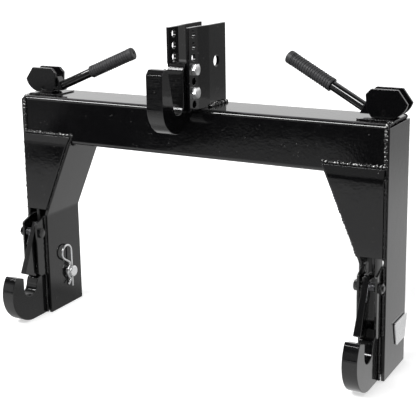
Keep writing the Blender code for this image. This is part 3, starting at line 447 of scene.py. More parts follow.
def rings(loops, closed=False):
    """A skin over a row of point loops, with flat ends unless the row is closed."""
    shape = bmesh.new()
    made = [[shape.verts.new(point) for point in loop] for loop in loops]
    count = len(made[0])
    pairs = list(zip(made, made[1:]))
    if closed:
        pairs.append((made[-1], made[0]))
    else:
        shape.faces.new(made[0])
        shape.faces.new(made[-1])
    for first, second in pairs:
        for index in range(count):
            after = (index + 1) % count
            shape.faces.new((first[index], first[after], second[after], second[index]))
    bmesh.ops.recalc_face_normals(shape, faces=shape.faces[:])
    return shape


def turned_loops(profile, sides=48, centre=(0.0, 0.0)):
    """Loops about a line along X, from (along, radius) points."""
    return [[(along, *point) for point in circle(radius, centre, sides)] for along, radius in profile]


def sweep(path, radius, sides=20):
    """A round wire along a path of points."""
    points = [Vector(point) for point in path]
    last = len(points) - 1
    directions = [(points[min(last, i + 1)] - points[max(0, i - 1)]).normalized()
                  for i in range(len(points))]
    side = directions[0].orthogonal().normalized()
    loops = []
    for point, direction in zip(points, directions):
        side = (side - direction * side.dot(direction)).normalized()
        other = direction.cross(side)
        loops.append([point + radius * (side * math.cos(turn) + other * math.sin(turn))
                      for turn in (math.tau * i / sides for i in range(sides))])
    return rings(loops)


def rounded_path(corners, radii):
    """A path in space through straight runs whose corners are rounded."""
    points = [Vector(corners[0])]
    for index in range(1, len(corners) - 1):
        corner = Vector(corners[index])
        back = (Vector(corners[index - 1]) - corner).normalized()
        onward = (Vector(corners[index + 1]) - corner).normalized()
        half = back.angle(onward) / 2
        radius = radii[index - 1]
        centre = corner + (back + onward).normalized() * (radius / math.sin(half))
        reach = radius / math.tan(half)
        start = corner + back * reach - centre
        end = corner + onward * reach - centre
        for step in range(CORNER_STEPS + 1):
            points.append(centre + start.slerp(end, step / CORNER_STEPS).normalized() * radius)
    points.append(Vector(corners[-1]))
    return points


def moved(shape, matrix):
    bmesh.ops.transform(shape, verts=shape.verts[:], matrix=matrix)
    return shape


# Pieces from solids

def object_of(name, mesh):
    made = bpy.data.objects.new(name, mesh)
    bpy.context.scene.collection.objects.link(made)
    return made


def mesh_object(name, shape):
    mesh = bpy.data.meshes.new(name)
    shape.to_mesh(mesh)
    shape.free()
    mesh.shade_smooth()
    return object_of(name, mesh)


def settle(item):
    """Turn what the item's modifiers make into its own plain mesh."""
    graph = bpy.context.evaluated_depsgraph_get()
    graph.update()
    mesh = bpy.data.meshes.new_from_object(item.evaluated_get(graph), depsgraph=graph)
    old = item.data
    item.modifiers.clear()
    item.data = mesh
    bpy.data.meshes.remove(old)
    mesh.name = item.name


def piece(node, shape, material, edge=0.0, joins=(), cuts=(), sharp=SHARP):
    """Make the finished piece that stands for a node of the frame."""
    item = mesh_object(f"{node}_finished", shape)
    tools = [("UNION", mesh_object("tool", tool)) for tool in joins]
    tools += [("DIFFERENCE", mesh_object("tool", tool)) for tool in cuts]
    for operation, tool in tools:
        modifier = item.modifiers.new(operation, "BOOLEAN")
        modifier.operation = operation
        modifier.solver = "EXACT"
        modifier.object = tool
    if edge:
        bevel = item.modifiers.new("edges", "BEVEL")
        bevel.width = edge
        bevel.segments = EDGE_SEGMENTS
        bevel.limit_method = "ANGLE"
        bevel.angle_limit = EDGE_ANGLE
        bevel.use_clamp_overlap = False
        weights = item.modifiers.new("shading", "WEIGHTED_NORMAL")
        weights.keep_sharp = True
    settle(item)
    if not item.data.polygons:
        raise RuntimeError(f"{node} came out with no faces")
    for _, tool in tools:
        bpy.data.objects.remove(tool, do_unlink=True)
    if not edge:
        item.data.set_sharp_from_angle(angle=sharp)
    item.data.materials.clear()
    item.data.materials.append(material)
    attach(item, frame["nodes"][node]["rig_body"])
    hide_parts(node)
    return item


def across(side, near, far):
    """Lowest and highest X of a piece between two distances from the middle."""
    return min(side * near, side * far), max(side * near, side * far)


def sizes():
    return bpy.context.scene.hitch_sizes


def colours():
    return bpy.context.scene.hitch_colours


def studio():
    return bpy.context.scene.hitch_studio


# Shader maths

class Value:
    """A socket's value, on which sums are written as sums."""

    def __init__(self, nodes, socket):
        self.nodes = nodes
        self.socket = socket

    def sum(self, operation, *values):
        return self.nodes.node("ShaderNodeMath", {"operation": operation}, dict(enumerate(values))).value(0)

    def __add__(self, other):
        return self.sum("ADD", self, other)

    __radd__ = __add__

    def __sub__(self, other):
        return self.sum("SUBTRACT", self, other)

    def __rsub__(self, other):
        return self.sum("SUBTRACT", other, self)

    def __mul__(self, other):
        return self.sum("MULTIPLY", self, other)

    __rmul__ = __mul__

    def __gt__(self, other):
        return self.sum("GREATER_THAN", self, other)

    def __lt__(self, other):
        return self.sum("LESS_THAN", self, other)

    def __abs__(self):
        return self.sum("ABSOLUTE", self)


class Step:
    """A node that was made, from which values and links are taken."""

    def __init__(self, nodes, node):
        self.nodes = nodes
        self.node = node

    def value(self, name):
        return Value(self.nodes, self.node.outputs[name])


class Nodes:
    """A node tree that is built in a script."""

    def __init__(self, tree):
        self.tree = tree
        self.tree.nodes.clear()

    def node(self, kind, settings=None, values=None):
        """Make a node: its settings first, then the values or links of its sockets."""
        made = self.tree.nodes.new(kind)
        for key, setting in (settings or {}).items():
            setattr(made, key, setting)
        for key, given in (values or {}).items():
            if isinstance(given, Value):
                self.tree.links.new(given.socket, made.inputs[key])
            else:
                made.inputs[key].default_value = given
        return Step(self, made)

    def between(self, value, low, high, to_low=0.0, to_high=1.0):
        """The value's place between two limits, smoothly."""
        return self.node("ShaderNodeMapRange", {"interpolation_type": "SMOOTHSTEP"},
                         {"Value": value, "From Min": low, "From Max": high,
                          "To Min": to_low, "To Max": to_high}).value("Result")

    def noise(self, place, scale, detail=2.0, roughness=0.5):
        return self.node("ShaderNodeTexNoise", {}, {"Vector": place, "Scale": scale, "Detail": detail,
                                                    "Roughness": roughness}).value(0)

    def cells(self, place, scale):
        return self.node("ShaderNodeTexVoronoi", {"feature": "F1"},
                         {"Vector": place, "Scale": scale}).value("Distance")

    def larger(self, first, second):
        return self.node("ShaderNodeMath", {"operation": "MAXIMUM"}, {0: first, 1: second}).value(0)

    def stretched(self, place, factors):
        return self.node("ShaderNodeVectorMath", {"operation": "MULTIPLY"},
                         {0: place, 1: factors}).value(0)

    def grain(self, place, factors):
        """Noise drawn out along the axes whose factors are low."""
        return self.noise(self.stretched(place, factors), 1.0)

    def axes(self, vector):
        """The vector's three numbers."""
        step = self.node("ShaderNodeSeparateXYZ", {}, {0: vector})
        return [step.value(index) for index in range(3)]

    def distance(self, place, centre):
        return self.node("ShaderNodeVectorMath", {"operation": "DISTANCE"},
                         {0: place, 1: centre}).value("Value")

    def mixed(self, share, first, second):
        """A colour between two colours."""
        return self.node("ShaderNodeMix", {"data_type": "RGBA"}, {0: share, 6: first, 7: second}).value(2)

    def bump(self, height, distance, strength=1.0):
        return self.node("ShaderNodeBump", {}, {"Height": height, "Distance": distance,
                                                "Strength": strength}).value(0)


def finish_tree(name):
    """A fresh material's tree, with its object coordinates and its own normals."""
    made = bpy.data.materials.new(name)
    made.use_nodes = True
    nodes = Nodes(made.node_tree)
    places = nodes.node("ShaderNodeTexCoord")
    return made, nodes, places.value("Object"), places.value("Normal")


def close_finish(nodes, values, dull=None):
    """End a finish in its shader, which goes matt black, as painted shade, where dull is 1."""
    shader = nodes.node("ShaderNodeBsdfPrincipled", {}, values).value(0)
    if dull:
        matt = nodes.node("ShaderNodeBsdfDiffuse", {}, {"Color": PAINTED_SHADE_BLACK}).value(0)
        shader = nodes.node("ShaderNodeMixShader", {}, {0: dull, 1: shader, 2: matt}).value(0)
    nodes.node("ShaderNodeOutputMaterial", {}, {"Surface": shader})


def opaque(colour):
    return (*colour, 1.0)


def painted_shade_in_legs(nodes, place):
    """How deep a place lies between the leg plates, where the paint is darkened to matt black as painted
    shade.
    """
    sideways, deep, height = nodes.axes(place)
    outward = abs(sideways)
    between_plates = (outward > INNER_HIGH.x - PLATE / 4) * (outward < OUTER_LOW.x + PLATE / 4)
    past_front = nodes.between(deep, BEAM_FRONT + 0.004, BEAM_FRONT + 0.020, 0.0, 0.85)
    open_back = nodes.between(deep, BEAM_MIDDLE, BEAM_BACK, 1.0, 0.25)
    return between_plates * (height < BEAM_BOTTOM) * past_front * open_back


def paint_finish(name="gloss_paint", cut_edges=0.0, ripple=0.0, coat=0.40, texture=1.0, painted_glints=False):
    """Gloss black paint: waves, orange peel, a little grit, soft clouding, faint dust on what faces up; its
    pale specks are partly painted glints.

    Flame-cut edges carry drag lines across the plate, and welds their ripple. On welds, pale grey
    specks are painted glints, stronger where the bead faces up. Smoother steel has a share of the texture.
    """
    made, nodes, place, facing = finish_tree(name)
    sideways, _, upward = nodes.axes(facing)
    waves = nodes.noise(place, 90.0)
    peel = nodes.noise(place, 210.0)
    cloud = nodes.noise(place, 26.0, 3.0)
    grit = nodes.between(nodes.cells(place, 190.0), 0.24, 0.06)
    grit = grit * nodes.between(nodes.noise(place, 70.0), 0.60, 0.66)
    specks = nodes.between(nodes.noise(place, 430.0), 0.62, 0.74)
    patchy = nodes.between(nodes.noise(place, 14.0), 0.35, 0.70)
    height = (waves * 1.8 + peel * (patchy + 0.4) * 2.0 + grit * 6.0) * texture
    if cut_edges:
        edge = nodes.between(abs(sideways), 0.75, 0.35)
        height = height + nodes.grain(place, (14.0, 700.0, 700.0)) * edge * cut_edges
    if ripple:
        height = height + nodes.noise(place, 170.0, 1.0) * ripple
    dust = nodes.between(nodes.noise(place, 1400.0, 3.0, 0.7), 0.55, 0.78)
    dust = dust * nodes.between(upward, 0.75, 1.0)
    # Grit and specks tint the paint pale: partly grit in the paint, partly painted glints
    pale = dust * 0.10 + (grit * 0.15 + specks * 0.04) * texture
    base = nodes.mixed(pale, opaque(colours().paint), DUST_AND_GLINT_GREY)
    # Pale grey specks on the beads: painted glints, stronger where the bead faces up
    if painted_glints:
        glint_share = nodes.between(nodes.noise(place, 300.0, 1.0), 0.56, 0.64)
        base = nodes.mixed(glint_share * nodes.between(upward, 0.1, 0.5), base, PAINTED_GLINT_GREY)
    rough = nodes.between(cloud, 0.3, 0.7, 0.05, 0.12) + dust * 0.15 + (0.14 if ripple else 0.0)
    # Between the leg plates the paint is mixed towards matt black: painted shade in their hollow
    close_finish(nodes, {"Base Color": base, "Roughness": rough, "Metallic": 0.0,
                         "Coat Weight": coat, "Coat Roughness": 0.04,
                         "Normal": nodes.bump(height, 0.00006)},
                 painted_shade_in_legs(nodes, place) if texture == 1.0 else None)
    return made


def zinc_finish():
    """Zinc plate: bright, faintly mottled crystals, light scuffs."""
    made, nodes, place, _ = finish_tree("zinc_plating")
    crystals = nodes.cells(place, 700.0)
    cloud = nodes.noise(place, 120.0, 3.0)
    scuffs = nodes.grain(place, (200.0, 1600.0, 900.0))
    dull = opaque([c * 0.82 for c in colours().zinc])
    mottle = nodes.between(cloud, 0.35, 0.7) * 0.4 + crystals * 0.15
    base = nodes.mixed(mottle, opaque(colours().zinc), dull)
    rough = nodes.between(cloud, 0.3, 0.7, 0.26, 0.36) + nodes.between(scuffs, 0.55, 0.8) * 0.08
    close_finish(nodes, {"Base Color": base, "Roughness": rough, "Metallic": 1.0,
                         "Normal": nodes.bump(crystals * 0.3 + scuffs * 0.5, 0.00001, 0.5)})
    return made


def spring_finish():
    """Oil-blackened spring wire, rubbed brighter along its drawn grain."""
    made, nodes, place, _ = finish_tree("spring_wire")
    cloud = nodes.noise(place, 260.0, 3.0)
    grain = nodes.grain(place, (3000.0, 300.0, 300.0))
    rubbed = nodes.between(cloud, 0.35, 0.65)
    base = nodes.mixed(rubbed, opaque(colours().spring), BLACKENED_STEEL)
    rough = nodes.between(cloud, 0.3, 0.7, 0.28, 0.46)
    close_finish(nodes, {"Base Color": base, "Roughness": rough, "Metallic": 1.0,
                         "Normal": nodes.bump(grain, 0.00002, 0.7)})
    return made


def rubber_finish():
    """Moulded rubber: fine leathery grain, a little paler in places from wear."""
    made, nodes, place, _ = finish_tree("grip_rubber_moulded")
    grain = nodes.cells(place, 1900.0)
    cloud = nodes.noise(place, 160.0, 3.0)
    paler = opaque([c * 1.7 for c in colours().rubber])
    base = nodes.mixed(nodes.between(cloud, 0.35, 0.75) * 0.5, opaque(colours().rubber), paler)
    rough = nodes.between(cloud, 0.3, 0.7, 0.48, 0.62)
    close_finish(nodes, {"Base Color": base, "Roughness": rough, "Metallic": 0.0,
                         "Normal": nodes.bump(grain, 0.00006, 0.6)})
    return made


FINISHES = {}


def finish(name):
    """The finish by its name, made when it is first asked for."""
    makers = {
        "paint": paint_finish,
        "smooth_paint": lambda: paint_finish("gloss_paint_on_smooth_steel", texture=0.22),
        "cut_paint": lambda: paint_finish("gloss_paint_on_cut_steel", cut_edges=5.0),
        "forged_paint": lambda: paint_finish("gloss_paint_on_forged_steel", cut_edges=1.0,
                                             texture=0.6),
        "weld_paint": lambda: paint_finish("gloss_paint_on_weld", ripple=14.0, coat=0.15, painted_glints=True),
        "seam_paint": lambda: paint_finish("gloss_paint_on_seam", ripple=8.0, coat=0.0),
        "zinc": zinc_finish,
        "spring": spring_finish,
        "rubber": rubber_finish,
    }
    if name not in FINISHES:
        FINISHES[name] = makers[name]()
    return FINISHES[name]


# Geometry Nodes for what repeats

def repeat_tree(name, inputs):
    """An empty Geometry Nodes tree with the named number inputs: its nodes and its group input."""
    tree = bpy.data.node_groups.new(name, "GeometryNodeTree")
    tree.interface.new_socket("Geometry", in_out="INPUT", socket_type="NodeSocketGeometry")
    for label, kind in inputs.items():
        tree.interface.new_socket(label, in_out="INPUT", socket_type=f"NodeSocket{kind}")
    tree.interface.new_socket("Geometry", in_out="OUTPUT", socket_type="NodeSocketGeometry")
    nodes = Nodes(tree)
    return nodes, nodes.node("NodeGroupInput")


def close_repeat(nodes, geometry, material):
    """End the tree in plain smooth faces that wear the material."""
    plain = nodes.node("GeometryNodeRealizeInstances", {}, {"Geometry": geometry}).value(0)
    smooth = nodes.node("GeometryNodeSetShadeSmooth", {}, {"Geometry": plain}).value(0)
    dressed = nodes.node("GeometryNodeSetMaterial", {}, {"Geometry": smooth, "Material": material})
    nodes.node("NodeGroupOutput", {}, {"Geometry": dressed.value(0)})


def line_object(name, paths):
    """An object of loose edges along the paths, with no faces."""
    points, edges = [], []
    for path in paths:
        edges += [(len(points) + i, len(points) + i + 1) for i in range(len(path) - 1)]
        points += [tuple(point) for point in path]
    mesh = bpy.data.meshes.new(name)
    mesh.from_pydata(points, edges, [])
    return object_of(name, mesh)


def grown(name, paths, nodes, values, body):
    """Run a tree along the paths and keep the result as a plain piece on a body."""
    item = line_object(name, paths)
    modifier = item.modifiers.new("repeat", "NODES")
    modifier.node_group = nodes.tree
    for socket in nodes.tree.interface.items_tree:
        if socket.in_out == "INPUT" and socket.name in values:
            modifier[socket.identifier] = values[socket.name]
    settle(item)
    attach(item, body)
    return item


def steps_along(nodes, given):
    """The line that a tree was given, the points at each pitch along it, and its direction."""
    line = nodes.node("GeometryNodeMeshToCurve", {}, {"Mesh": given.value("Geometry")}).value(0)
    steps = nodes.node("GeometryNodeResampleCurve", {"mode": "LENGTH"},
                       {"Curve": line, "Length": given.value("Pitch")}).value(0)
    tangent = nodes.node("GeometryNodeInputTangent").value(0)
    turn = nodes.node("FunctionNodeAlignRotationToVector", {"axis": "Z"}, {"Vector": tangent})
    return line, steps, turn.value(0)


def ring(nodes, radius, points):
    return nodes.node("GeometryNodeCurvePrimitiveCircle", {"mode": "RADIUS"},
                      {"Resolution": points, "Radius": radius}).value(0)


def weld_tree(material):
    """A bead along a path: a round core under overlapping ripples of uneven size."""
    nodes, given = repeat_tree("weld_bead", {"Radius": "Float", "Pitch": "Float", "Seed": "Int"})
    radius = given.value("Radius")
    line, beads, turn = steps_along(nodes, given)
    ball = nodes.node("GeometryNodeMeshUVSphere", {}, {"Segments": 12, "Rings": 7, "Radius": 1.0}).value(0)
    thickness = given.value("Pitch") * RIPPLE_THICKNESS
    scale = nodes.node("ShaderNodeCombineXYZ", {}, {0: radius, 1: radius, 2: thickness}).value(0)
    ripple = nodes.node("GeometryNodeTransform", {}, {"Geometry": ball, "Scale": scale}).value(0)
    lean = nodes.node("FunctionNodeEulerToRotation", {}, {0: (RIPPLE_LEAN, 0.0, 0.0)}).value(0)
    leaned = nodes.node("FunctionNodeRotateRotation", {"rotation_space": "LOCAL"},
                        {"Rotation": turn, "Rotate By": lean}).value(0)
    uneven = nodes.node("FunctionNodeRandomValue", {"data_type": "FLOAT"},
                        {2: RIPPLE_SMALLEST, 3: RIPPLE_LARGEST, "Seed": given.value("Seed")}).value(1)
    set_on = nodes.node("GeometryNodeInstanceOnPoints", {},
                        {"Points": beads, "Instance": ripple, "Rotation": leaned, "Scale": uneven})
    core = nodes.node("GeometryNodeCurveToMesh", {}, {
        "Curve": line, "Profile Curve": ring(nodes, radius * WELD_CORE, 14), "Fill Caps": True})
    both = nodes.node("GeometryNodeJoinGeometry")
    for part in (set_on, core):
        nodes.tree.links.new(part.value(0).socket, both.node.inputs[0])
    close_repeat(nodes, both.value(0), material)
    return nodes


def rib_tree(material):
    """Round ribs about a line, one at each step along it."""
    nodes, given = repeat_tree("grip_ribs", {"Radius": "Float", "Size": "Float", "Pitch": "Float"})
    _, steps, turn = steps_along(nodes, given)
    rib = nodes.node("GeometryNodeCurveToMesh", {}, {
        "Curve": ring(nodes, given.value("Radius"), 40),
        "Profile Curve": ring(nodes, given.value("Size"), 8)}).value(0)
    set_on = nodes.node("GeometryNodeInstanceOnPoints", {},
                        {"Points": steps, "Instance": rib, "Rotation": turn})
    close_repeat(nodes, set_on.value(0), material)
    return nodes


# Crossbeam and legs

def box_outline(low, high, corner):
    """A rectangle between two corner points, its own corners rounded."""
    return rounded([(low[0], low[1], corner), (high[0], low[1], corner),
                    (high[0], high[1], corner), (low[0], high[1], corner)])


def rod_hole(side, low, high):
    return prism(circle(ROD_HOLE, (side * HOOK_X, BEAM_MIDDLE)), "Z", low, high)


def make_crossbeam():
    """Square tube with a hole for each release rod."""
    wall = BEAM_WALL
    outline = box_outline((BEAM_FRONT, BEAM_BOTTOM), (BEAM_BACK, BEAM_TOP), BEAM_CORNER)
    inside = box_outline((BEAM_FRONT + wall, BEAM_BOTTOM + wall), (BEAM_BACK - wall, BEAM_TOP - wall),
                         BEAM_CORNER - wall)
    cuts = [prism(inside, "X", BEAM_LOW.x - wall, BEAM_HIGH.x + wall)]
    cuts += [rod_hole(side, BEAM_BOTTOM - wall, BEAM_TOP + wall) for side in SIDES.values()]
    piece("crossbeam", prism(outline, "X", BEAM_LOW.x, BEAM_HIGH.x), finish("paint"),
          sizes().plate_edge / 2, cuts=cuts)


def make_lever_pad(name, side):
    """Small plate on the beam under a lever."""
    node = f"{name}_lever_pad"
    low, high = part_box(node)
    piece(node, prism(box_outline(low, high, PAD_CORNER), "Z", low.z, high.z), finish("paint"),
          sizes().plate_edge / 2, cuts=[rod_hole(side, low.z - PLATE, high.z + PLATE)])


def pin_hole(side, pivot):
    reach = across(side, INNER_HIGH.x - 3 * PLATE, OUTER_HIGH.x + PLATE)
    return prism(circle(PIN_HOLE, (pivot.y, pivot.z)), "X", *reach)


def make_leg(name, side):
    """Flat outer plate and the inner plate, which bends towards the middle above the latch."""
    pivot = PIVOTS[f"{name}_link_pin_turn"]
    edge = sizes().plate_edge
    outline = [(OUTER_LOW.y, OUTER_LOW.z), (OUTER_HIGH.y, OUTER_LOW.z),
               (OUTER_HIGH.y, OUTER_HIGH.z), (OUTER_LOW.y, OUTER_HIGH.z)]
    piece(f"{name}_outer_plate", prism(outline, "X", *across(side, OUTER_LOW.x, OUTER_HIGH.x)),
          finish("cut_paint"), edge, cuts=[pin_hole(side, pivot)])
    top = INNER_HIGH.z
    face_x = INNER_HIGH.x - PLATE
    face = rounded([(face_x, INNER_LOW.z), (face_x, BEND_HEIGHT, BEND_RADIUS), (INNER_LOW.x, top)],
                   closed=False)
    back = offset_line(face, PLATE)
    (x0, z0), (x1, z1) = back[-2:]
    back[-1] = (x0 + (x1 - x0) * (top - z0) / (z1 - z0), top)
    outline = [(side * x, z) for x, z in face + back[::-1]]
    piece(f"{name}_inner_plate", prism(outline, "Y", INNER_LOW.y, INNER_HIGH.y), finish("cut_paint"),
          edge, cuts=[pin_hole(side, pivot)])


def inner_plate_face(height):
    """X of the inner plate's inner face above its bend."""
    face_x = INNER_HIGH.x - PLATE
    share = (height - BEND_HEIGHT) / (BEAM_BOTTOM - BEND_HEIGHT)
    return face_x + (INNER_LOW.x - face_x) * share


def gusset_rows():
    """(height, back, inner edge) down the gusset, its bend smoothed."""
    bend = GUSSET_HIGH.z - GUSSET_BAND
    foot = GUSSET_LOW.z
    inner = inner_plate_face(bend) + GUSSET_EDGE_INSET
    back = OUTER_LOW.y - SEAT_GAP
    low = Vector((foot, back, inner_plate_face(foot) + GUSSET_FOOT_INSET))
    middle = Vector((bend, back, inner))
    high = Vector((GUSSET_HIGH.z, back + GUSSET_BAND_LEAN, inner - GUSSET_BAND_FLARE))
    reach = GUSSET_BAND / 3
    before = middle + (low - middle).normalized() * reach
    after = middle + (high - middle).normalized() * reach
    rows = [low]
    for step in range(GUSSET_BEND_STEPS + 1):
        t = step / GUSSET_BEND_STEPS
        rows.append(before * (1 - t) ** 2 + middle * 2 * t * (1 - t) + after * t ** 2)
    rows.append(high)
    return rows


def make_gusset(name, side):
    """Gusset in front of a leg, its top band leaning back onto the beam."""
    loops = []
    for height, back, inner in gusset_rows():
        front = back - GUSSET_PLATE
        loops.append([(side * inner, front, height), (side * GUSSET_HIGH.x, front, height),
                      (side * GUSSET_HIGH.x, back, height), (side * inner, back, height)])
    piece(f"{name}_gusset", rings(loops), finish("paint"), sizes().plate_edge)


# Lower hooks and latches

def latch_points():
    """Corners of the latch's working face and foot, relative to its pivot."""
    down = Vector((-math.sin(LATCH_LEAN), -math.cos(LATCH_LEAN)))
    back = Vector((math.cos(LATCH_LEAN), -math.sin(LATCH_LEAN)))
    middle = -back * LATCH_FACE_OFFSET
    toe = middle + down * LATCH_FACE_BELOW
    return toe, toe + back * LATCH_FOOT, middle - down * LATCH_FACE_ABOVE


def make_lower_hook(name, side):
    """Flame-cut hook whose tail runs back between the leg plates."""
    arc_y = BEAM_FRONT - HOOK_ARC_FORWARD
    jaw = (BEAM_FRONT - JAW_FORWARD, JAW_HEIGHT)
    front_z = HOOK_HIGH.z - TINE_CHAMFER
    rise = math.asin((front_z - HOOK_RADIUS) / HOOK_RADIUS)
    outline = arc((arc_y, HOOK_RADIUS), HOOK_RADIUS, math.pi - rise, 1.5 * math.pi, LARGE_ARC_STEP)
    tip_y = outline[0][0] + TINE_CHAMFER
    outline[0] = (*outline[0], TINE_CORNER)
    shoulder = hook_shoulder()
    outline += [
        (HOOK_HIGH.y, 0.0),
        (HOOK_HIGH.y, shoulder),
        (BEAM_FRONT - SHOULDER_FORWARD, shoulder, HOOK_BACK_CORNER),
        (jaw[0] + JAW_RADIUS + MOUTH_FLARE, MOUTH_FLARE_HEIGHT, HOOK_BACK_CORNER),
    ]
    outline += arc(jaw, JAW_RADIUS, 0.0, -math.pi)
    outline += [
        (jaw[0] - JAW_RADIUS, TINE_BACK_HEIGHT, TINE_CORNER),
        (tip_y, HOOK_HIGH.z, TINE_CORNER),
    ]
    half = (HOOK_HIGH.x - HOOK_LOW.x) / 2
    piece(f"{name}_lower_hook", prism(rounded(outline), "X", side * HOOK_X - half, side * HOOK_X + half),
          finish("forged_paint"), sizes().forged_edge)


def hook_shoulder():
    """Top of the hook behind its jaw, just below the circle that the latch's heel sweeps."""
    return PIVOTS["right_latch_swing"].z - latch_points()[1].length - EAR_FOOT_ABOVE_HOOK


def make_latch_ears(name, side):
    """Two plates beside the hook that carry the latch and hold the hook's tail."""
    pivot = PIVOTS[f"{name}_latch_swing"]
    foot = hook_shoulder() + EAR_FOOT_ABOVE_HOOK
    corner = EAR_CORNER_RADII
    outline = rounded([
        (EAR_LOW.y, EAR_HIGH.z - EAR_FRONT_DROP, corner["front"]),
        (EAR_LOW.y, foot + EAR_CORNER, corner["foot"]),
        (EAR_LOW.y + EAR_CORNER, foot, corner["foot"]),
        (BEAM_FRONT, foot),
        (BEAM_FRONT, EAR_TAIL_FOOT),
        (EAR_HIGH.y, EAR_TAIL_FOOT),
        (EAR_HIGH.y, EAR_HIGH.z),
        (BEAM_FRONT, EAR_HIGH.z, corner["top"]),
    ])
    for place in ("inner", "outer"):
        node = f"{name}_latch_ear_{place}"
        low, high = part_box(node)
        bore = circle(BOLT_RADIUS + SEAT_GAP, (pivot.y, pivot.z))
        piece(node, prism(outline, "X", low.x, high.x), finish("cut_paint"), sizes().plate_edge,
              cuts=[prism(bore, "X", low.x - PLATE, high.x + PLATE)])


def latch_half_width(height):
    """Half of the latch's width, which narrows from its foot to its head."""
    _, heel, head = latch_points()
    share = max(0.0, min(1.0, (height - heel.y) / (head.y - heel.y)))
    return (LATCH_WIDTH_FOOT + (LATCH_WIDTH_TOP - LATCH_WIDTH_FOOT) * share) / 2


def slot_travel():
    """How far the rod's end runs along the arm's slot while the latch opens."""
    rise = (LATCH_ARM_UP + LATCH_ARM_BACK * math.sin(LATCH_OPEN)) / math.cos(LATCH_OPEN)
    return LATCH_ARM_BACK * math.cos(LATCH_OPEN) + rise * math.sin(LATCH_OPEN) - LATCH_ARM_BACK


def about(pivot, points):
    """(y, z) points moved so that they lie about the pivot."""
    return [(pivot.y + y, pivot.z + z) for y, z in points]


def make_latch(name, side):
    """Bell crank: a wedge that closes the jaw, and a slotted arm that the rod lifts."""
    pivot = PIVOTS[f"{name}_latch_swing"]
    toe, heel, head = latch_points()
    leave = tangent_angle((0.0, 0.0), LATCH_BOSS, tuple(heel), 1)
    outline = [(*toe, LATCH_CORNER), (*heel, LATCH_CORNER)]
    outline += arc((0.0, 0.0), LATCH_BOSS, leave, math.pi / 3, SMALL_ARC_STEP)
    outline += [(head.x + LATCH_BOSS / 2, head.y, LATCH_CORNER), (*head, LATCH_CORNER)]
    body = prism(about(pivot, rounded(outline)), "X", -1.0, 1.0)
    for vertex in body.verts:
        vertex.co.x = pivot.x + vertex.co.x * latch_half_width(vertex.co.z - pivot.z)
    centre = (LATCH_ARM_BACK + slot_travel(), LATCH_ARM_UP)
    arm = [(-LATCH_BOSS / 2, LATCH_ARM_UP - LATCH_ARM_HALF)]
    arm += arc(centre, LATCH_ARM_HALF, -math.pi / 2, math.pi / 2, SMALL_ARC_STEP)
    arm += [(-LATCH_BOSS / 2, LATCH_ARM_UP + LATCH_ARM_HALF)]
    arm_x = pivot.x - side * LATCH_ARM_INBOARD
    half = LATCH_ARM_THICKNESS / 2
    arm = prism(about(pivot, arm), "X", arm_x - half, arm_x + half)
    wide = ROD_RADIUS + 2 * RUNNING_GAP
    slot = arc(centre, wide, -math.pi / 2, math.pi / 2, SMALL_ARC_STEP)
    slot += arc((LATCH_ARM_BACK, LATCH_ARM_UP), wide, math.pi / 2, 1.5 * math.pi, SMALL_ARC_STEP)
    low, high = pivot.x - LATCH_WIDTH_FOOT, pivot.x + LATCH_WIDTH_FOOT
    cuts = [prism(about(pivot, slot), "X", low, high),
            prism(circle(BOLT_RADIUS + RUNNING_GAP, (pivot.y, pivot.z)), "X", low, high)]
    piece(f"{name}_latch", body, finish("forged_paint"), sizes().forged_edge, joins=[arm], cuts=cuts)


def hexagon_reach(angle, across_flats):
    """Distance from a hexagon's middle to its edge, a corner lying at angle 0."""
    within = (angle + math.pi / 6) % (math.pi / 3) - math.pi / 6
    return across_flats / 2 / math.cos(math.pi / 6 - abs(within))


def hex_loops(seat, direction, thick, across_flats, centre, both_ends=False):
    """Loops of a hexagon head from its seat outwards, its corners turned off by a cone."""
    flat = across_flats * HEX_FLAT
    angles = [math.tau * i / FASTENER_SIDES for i in range(FASTENER_SIDES)]

    def edge(angle):
        return hexagon_reach(angle, across_flats)

    def drop(angle):
        return (edge(angle) - flat) * math.tan(HEX_CONE)

    def loop(along, reach):
        return [(seat + direction * along(a), centre[0] + reach(a) * math.cos(a),
                 centre[1] + reach(a) * math.sin(a)) for a in angles]

    if both_ends:
        loops = [loop(lambda a: 0.0, lambda a: flat), loop(drop, edge)]
    else:
        loops = [loop(lambda a: 0.0, edge)]
    return loops + [loop(lambda a: thick - drop(a), edge), loop(lambda a: thick, lambda a: flat)]


def thread_loops(start, end, radius, centre):
    """Loops of a screw thread that ends in a chamfered tip."""
    pitch = sizes().thread_pitch
    depth = pitch * THREAD_DEPTH
    direction = math.copysign(1.0, end - start)
    count = int(abs(end - start) / pitch * THREAD_STEPS)
    loops = []
    for step in range(count + 1):
        along = start + (end - start) * step / count
        tip = radius - depth + abs(end - along)
        loop = []
        for i in range(FASTENER_SIDES):
            angle = math.tau * i / FASTENER_SIDES
            phase = (abs(along - start) / pitch + i / FASTENER_SIDES) % 1.0
            reach = min(radius - depth * abs(2 * phase - 1), tip)
            loop.append((along, centre[0] + reach * math.cos(angle), centre[1] + reach * math.sin(angle)))
        loops.append(loop)
    face = [(end + direction * THREAD_END, radius - depth * 1.3)]
    return loops + turned_loops(face, FASTENER_SIDES, centre)


def make_bolt(node, pivot, direction, radius, across_flats, head, thread, material):
    """Hexagon bolt along X that points from its head in the direction."""
    low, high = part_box(node)
    start, end = (low.x, high.x) if direction > 0 else (high.x, low.x)
    seat = start + direction * head
    centre = (pivot.y, pivot.z)
    plain_end = end - direction * thread
    loops = hex_loops(seat, -direction, head, across_flats, centre)[::-1]
    loops += turned_loops([(seat, radius), (plain_end, radius)], FASTENER_SIDES, centre)
    loops += thread_loops(plain_end, end - direction * THREAD_END, radius, centre)
    piece(node, rings(loops), finish(material))


